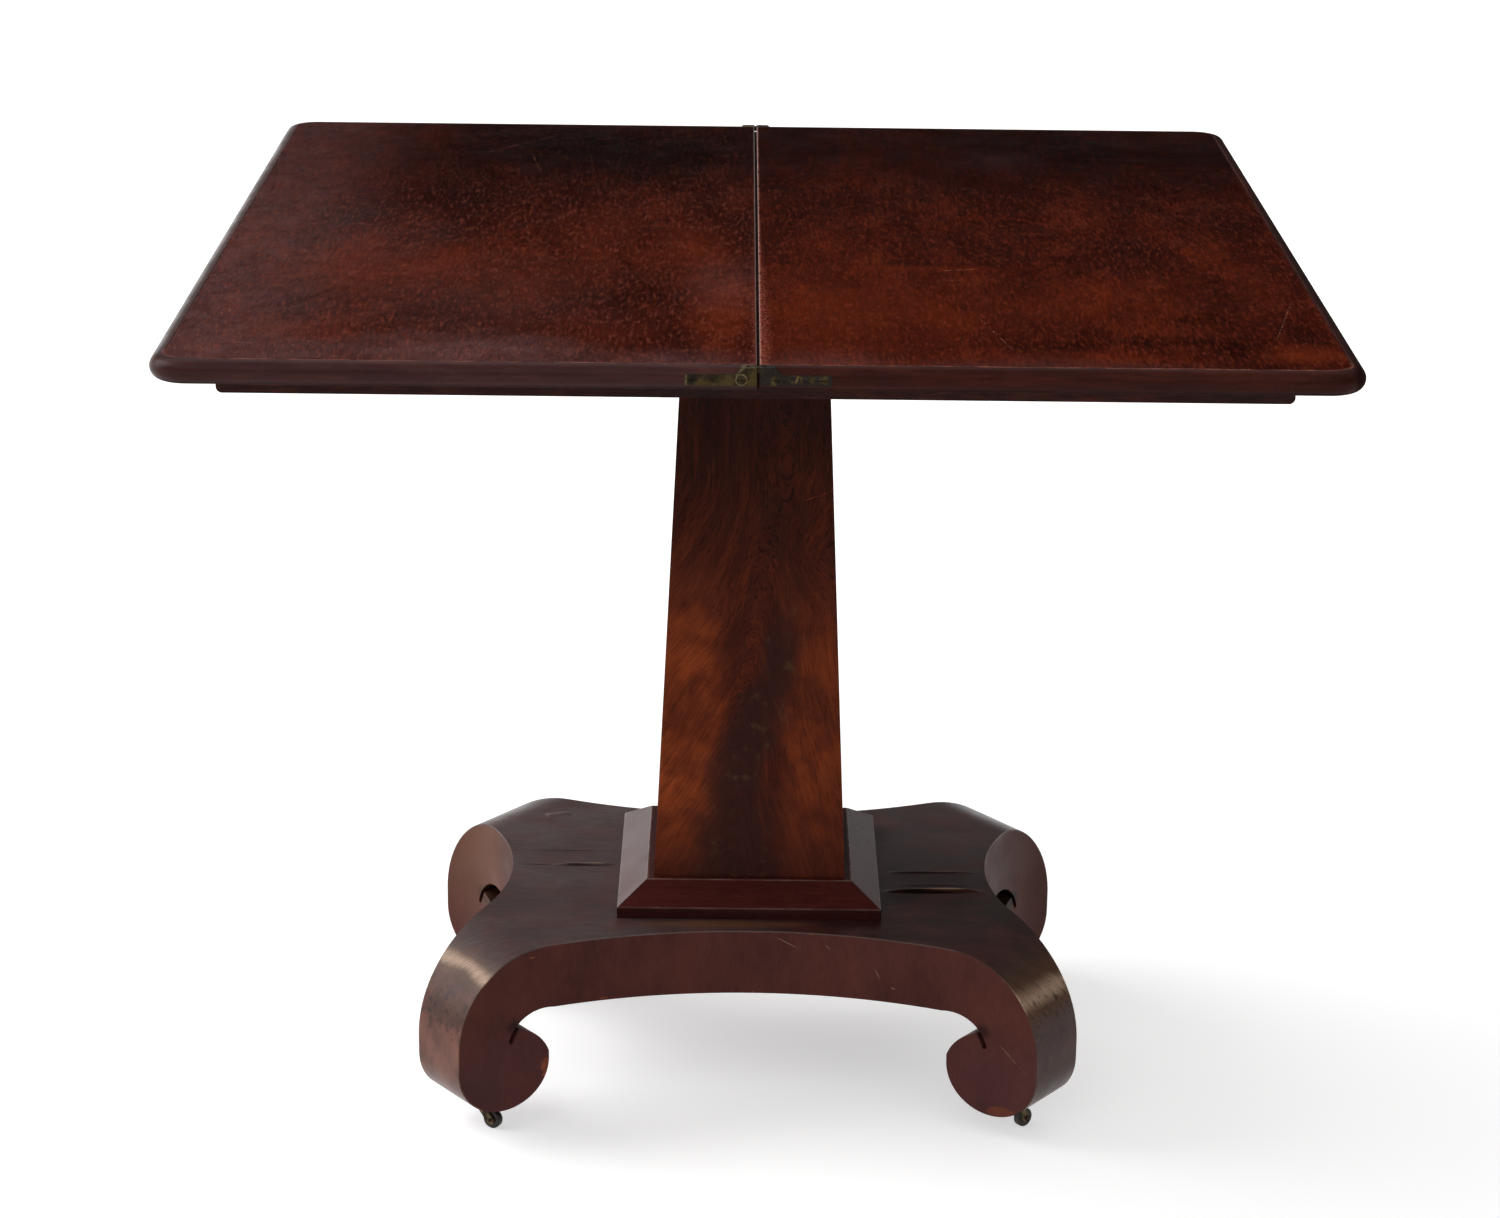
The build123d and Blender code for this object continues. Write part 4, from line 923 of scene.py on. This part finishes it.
def mark_left_plate(recipe):
    """Lays pale lines of painted highlight and wear round the plate's big screw, along its end and along the
    top of its head.
    """
    low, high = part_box("upper_hinge_plates")
    tall = high.z - low.z
    screw_x, screw_z = -12 * MM, low.z + 0.33 * tall
    over, up = recipe.minus(recipe.x, screw_x), recipe.minus(recipe.z, screw_z)
    away = recipe.length(recipe.combine(over, 0.0, up))
    slope = recipe.minus(recipe.z, recipe.x)
    shoulder = recipe.times(recipe.near(slope, high.z + 10 * MM, 1.2 * MM),
                            recipe.rise(recipe.z, low.z + 0.5 * tall, low.z + 0.6 * tall))
    lines = (recipe.near(away, 3.8 * MM, 0.8 * MM), recipe.near(recipe.x, low.x + 0.8 * MM, 0.9 * MM),
             shoulder, recipe.near(recipe.z, high.z, 0.6 * MM))
    wear_and_highlight = recipe.rise(recipe.cloud(3 * MM, 3.0), 0.3, 0.6, 0.2, 0.7)
    # Pale lines of painted highlight and wear
    for line in lines:
        recipe.lay(recipe.times(line, wear_and_highlight), stain(118, 104, 74), 0.8)


def mark_right_plate(recipe):
    """A few yellow scratches through the dirt."""
    low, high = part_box("lower_hinge_plates")
    level = low.z + 0.4 * (high.z - low.z)
    patch = recipe.oval((27 * MM, 0, level), (9 * MM, 1, 5 * MM), ragged=0.3, core=0.3, grit=3 * MM)
    broken = recipe.rise(recipe.cloud(2.5 * MM, 3.0), 0.45, 0.6)
    recipe.lay(recipe.times(patch, broken), stain(112, 94, 48), 0.7)


def metal(name, bright, dirt, satin, metal_share=0.9, dirt_share=0.5, marks=None):
    """Old metal: bare on its high spots, dark with dirt elsewhere."""
    recipe = Recipe(name)
    edge = 0.5 - 0.3 * (dirt_share - 0.5)
    dirty = recipe.rise(recipe.cloud(7 * MM, 5.0), edge - 0.14, edge + 0.12)
    recipe.colour = recipe.mix(dirty, bright, dirt)
    if marks:
        marks(recipe)
    recipe.roughness = recipe.rise(recipe.cloud(2 * MM, 3.0, 4.0), 0.3, 0.7, satin - 0.1, satin + 0.15)
    recipe.height = recipe.cloud(0.8 * MM, 3.0)
    return recipe.close(gloss=0.5, depth=0.06 * MM, metal=metal_share)


# Lamps: the direction from the table to each, and how wide it is in degrees
KEY_LAMP = ((-0.85, 0.2, 0.55), 45)
FILL_LAMP = ((0.1, -0.8, 0.55), 70)


def lamp(name, strength, towards, angle):
    """Hangs a far lamp."""
    data = bpy.data.lights.new(name, "SUN")
    data.energy = strength
    data.angle = math.radians(angle)
    lamp_object = bpy.data.objects.new(name, data)
    bpy.context.scene.collection.objects.link(lamp_object)
    lamp_object.rotation_mode = "QUATERNION"
    lamp_object.rotation_quaternion = Vector(towards).to_track_quat("Z", "Y")


# Brightness of the sky at heights in degrees: pale low down, then a dark band, then pale overhead.
SKY_BANDS = ((0.0, 0.86), (5.0, 0.8), (8.0, 0.2), (9.5, 0.005), (17.0, 0.005), (24.0, 0.12), (34.0, 0.35),
             (42.0, 0.9), (52.0, 0.9), (64.0, 0.55), (90.0, 0.55))


def studio_sky(strength):
    """Light from all round in bands, strongest at the left, where the bands also lie a little higher."""
    world = bpy.data.worlds.new("studio")
    bpy.context.scene.world = world
    world.use_nodes = True
    sky = Nodes(world.node_tree)
    x, _, z = sky.split(sky.node("TexCoord").outputs["Generated"])
    height = sky.plus(z, sky.slope(x, -0.1, -0.3, 0.0, -0.06))
    stops = [(math.sin(math.radians(degrees)), (level,) * 3) for degrees, level in SKY_BANDS]
    at_left, at_right = 1.5 * strength, 0.6 * strength
    side = sky.slope(x, -0.4, 0.4, at_left, at_right)
    back = sky.node("Background", {"Strength": side, "Color": sky.ramp(height, *stops)})
    sky.node("OutputWorld", {0: back.outputs[0]})


def floor_finish(colour, glow):
    """Pale floor whose white is partly its own to whatever sees or mirrors it, and which keeps shadows."""
    recipe = Recipe("studio_floor")
    matt = recipe.node("BsdfDiffuse", {0: (*colour, 1)})
    path = recipe.node("LightPath").outputs
    seen = recipe.larger(path["Is Camera Ray"], path["Is Glossy Ray"], path["Is Transmission Ray"])
    own = recipe.node("Emission", {0: (1, 1, 1, 1), 1: recipe.times(seen, glow)})
    both = recipe.node("AddShader", {0: matt.outputs[0], 1: own.outputs[0]})
    recipe.node("OutputMaterial", {0: both.outputs[0]})
    return recipe.material


# Place of the camera in metres, its lens in millimetres and its turns in degrees, fitted to the photo
CAMERA_PLACE = (-0.0159, -3.0830, 1.4009)
LENS = 92.0
HEADING, DOWNWARD, ROLL = -0.263, 17.93, 0.69


class SetStage(bpy.types.Operator):
    """Lays the floor, hangs the lamps and sets up the camera."""

    bl_idname = "games_table.set_stage"
    bl_label = "Set the stage"

    def execute(self, context):
        stage = settings().stage
        floor = self.lay_floor(stage)
        studio_sky(stage.sky)
        lamp("key", stage.key, *KEY_LAMP)
        lamp("fill", stage.fill, *FILL_LAMP)
        self.place_camera()
        bpy.context.scene.view_settings.view_transform = "Standard"
        return {"FINISHED"}

    @staticmethod
    def lay_floor(stage):
        """Lays a level sheet under the casters."""
        mesh = bpy.data.meshes.new("studio_floor")
        sheet = bmesh.new()
        bmesh.ops.create_grid(sheet, x_segments=1, y_segments=1, size=stage.reach)
        sheet.to_mesh(mesh)
        sheet.free()
        mesh.materials.append(floor_finish(tuple(stage.floor), stage.glow))
        floor = bpy.data.objects.new("studio_floor", mesh)
        bpy.context.scene.collection.objects.link(floor)
        return floor

    @staticmethod
    def place_camera():
        """Puts the camera where the photo was taken from."""
        data = bpy.data.cameras.new("camera")
        data.sensor_fit = "HORIZONTAL"
        data.sensor_width = 36.0
        data.lens = LENS
        camera = bpy.data.objects.new("camera", data)
        bpy.context.scene.collection.objects.link(camera)
        place = Matrix.Translation(CAMERA_PLACE)
        for angle, axis in ((HEADING, "Z"), (90 - DOWNWARD, "X"), (ROLL, "Z")):
            place = place @ Matrix.Rotation(math.radians(angle), 4, axis)
        camera.matrix_world = place
        bpy.context.scene.camera = camera


class TablePanel(bpy.types.Panel):
    """Lists the steps in the sidebar."""

    bl_idname = "VIEW3D_PT_games_table"
    bl_label = "Games Table"
    bl_space_type = "VIEW_3D"
    bl_region_type = "UI"
    bl_category = "Games Table"

    def draw(self, context):
        for step in STEPS:
            self.layout.operator(step.bl_idname)


STEPS = (DressTop, DressFrame, DressColumn, DressBase, DressMetal, SetStage)
CLASSES = (TopColours, PedestalColours, MetalColours, StageSettings, TableSettings, *STEPS, TablePanel)


def register():
    for group in CLASSES:
        bpy.utils.register_class(group)
    bpy.types.Scene.games_table = PointerProperty(type=TableSettings)


def unregister():
    del bpy.types.Scene.games_table
    for group in reversed(CLASSES):
        bpy.utils.unregister_class(group)


def main():
    """Finishes the table and sets the stage."""
    register()
    for step in STEPS:
        module, name = step.bl_idname.split(".")
        getattr(getattr(bpy.ops, module), name)()


if __name__ == "__main__":
    main()
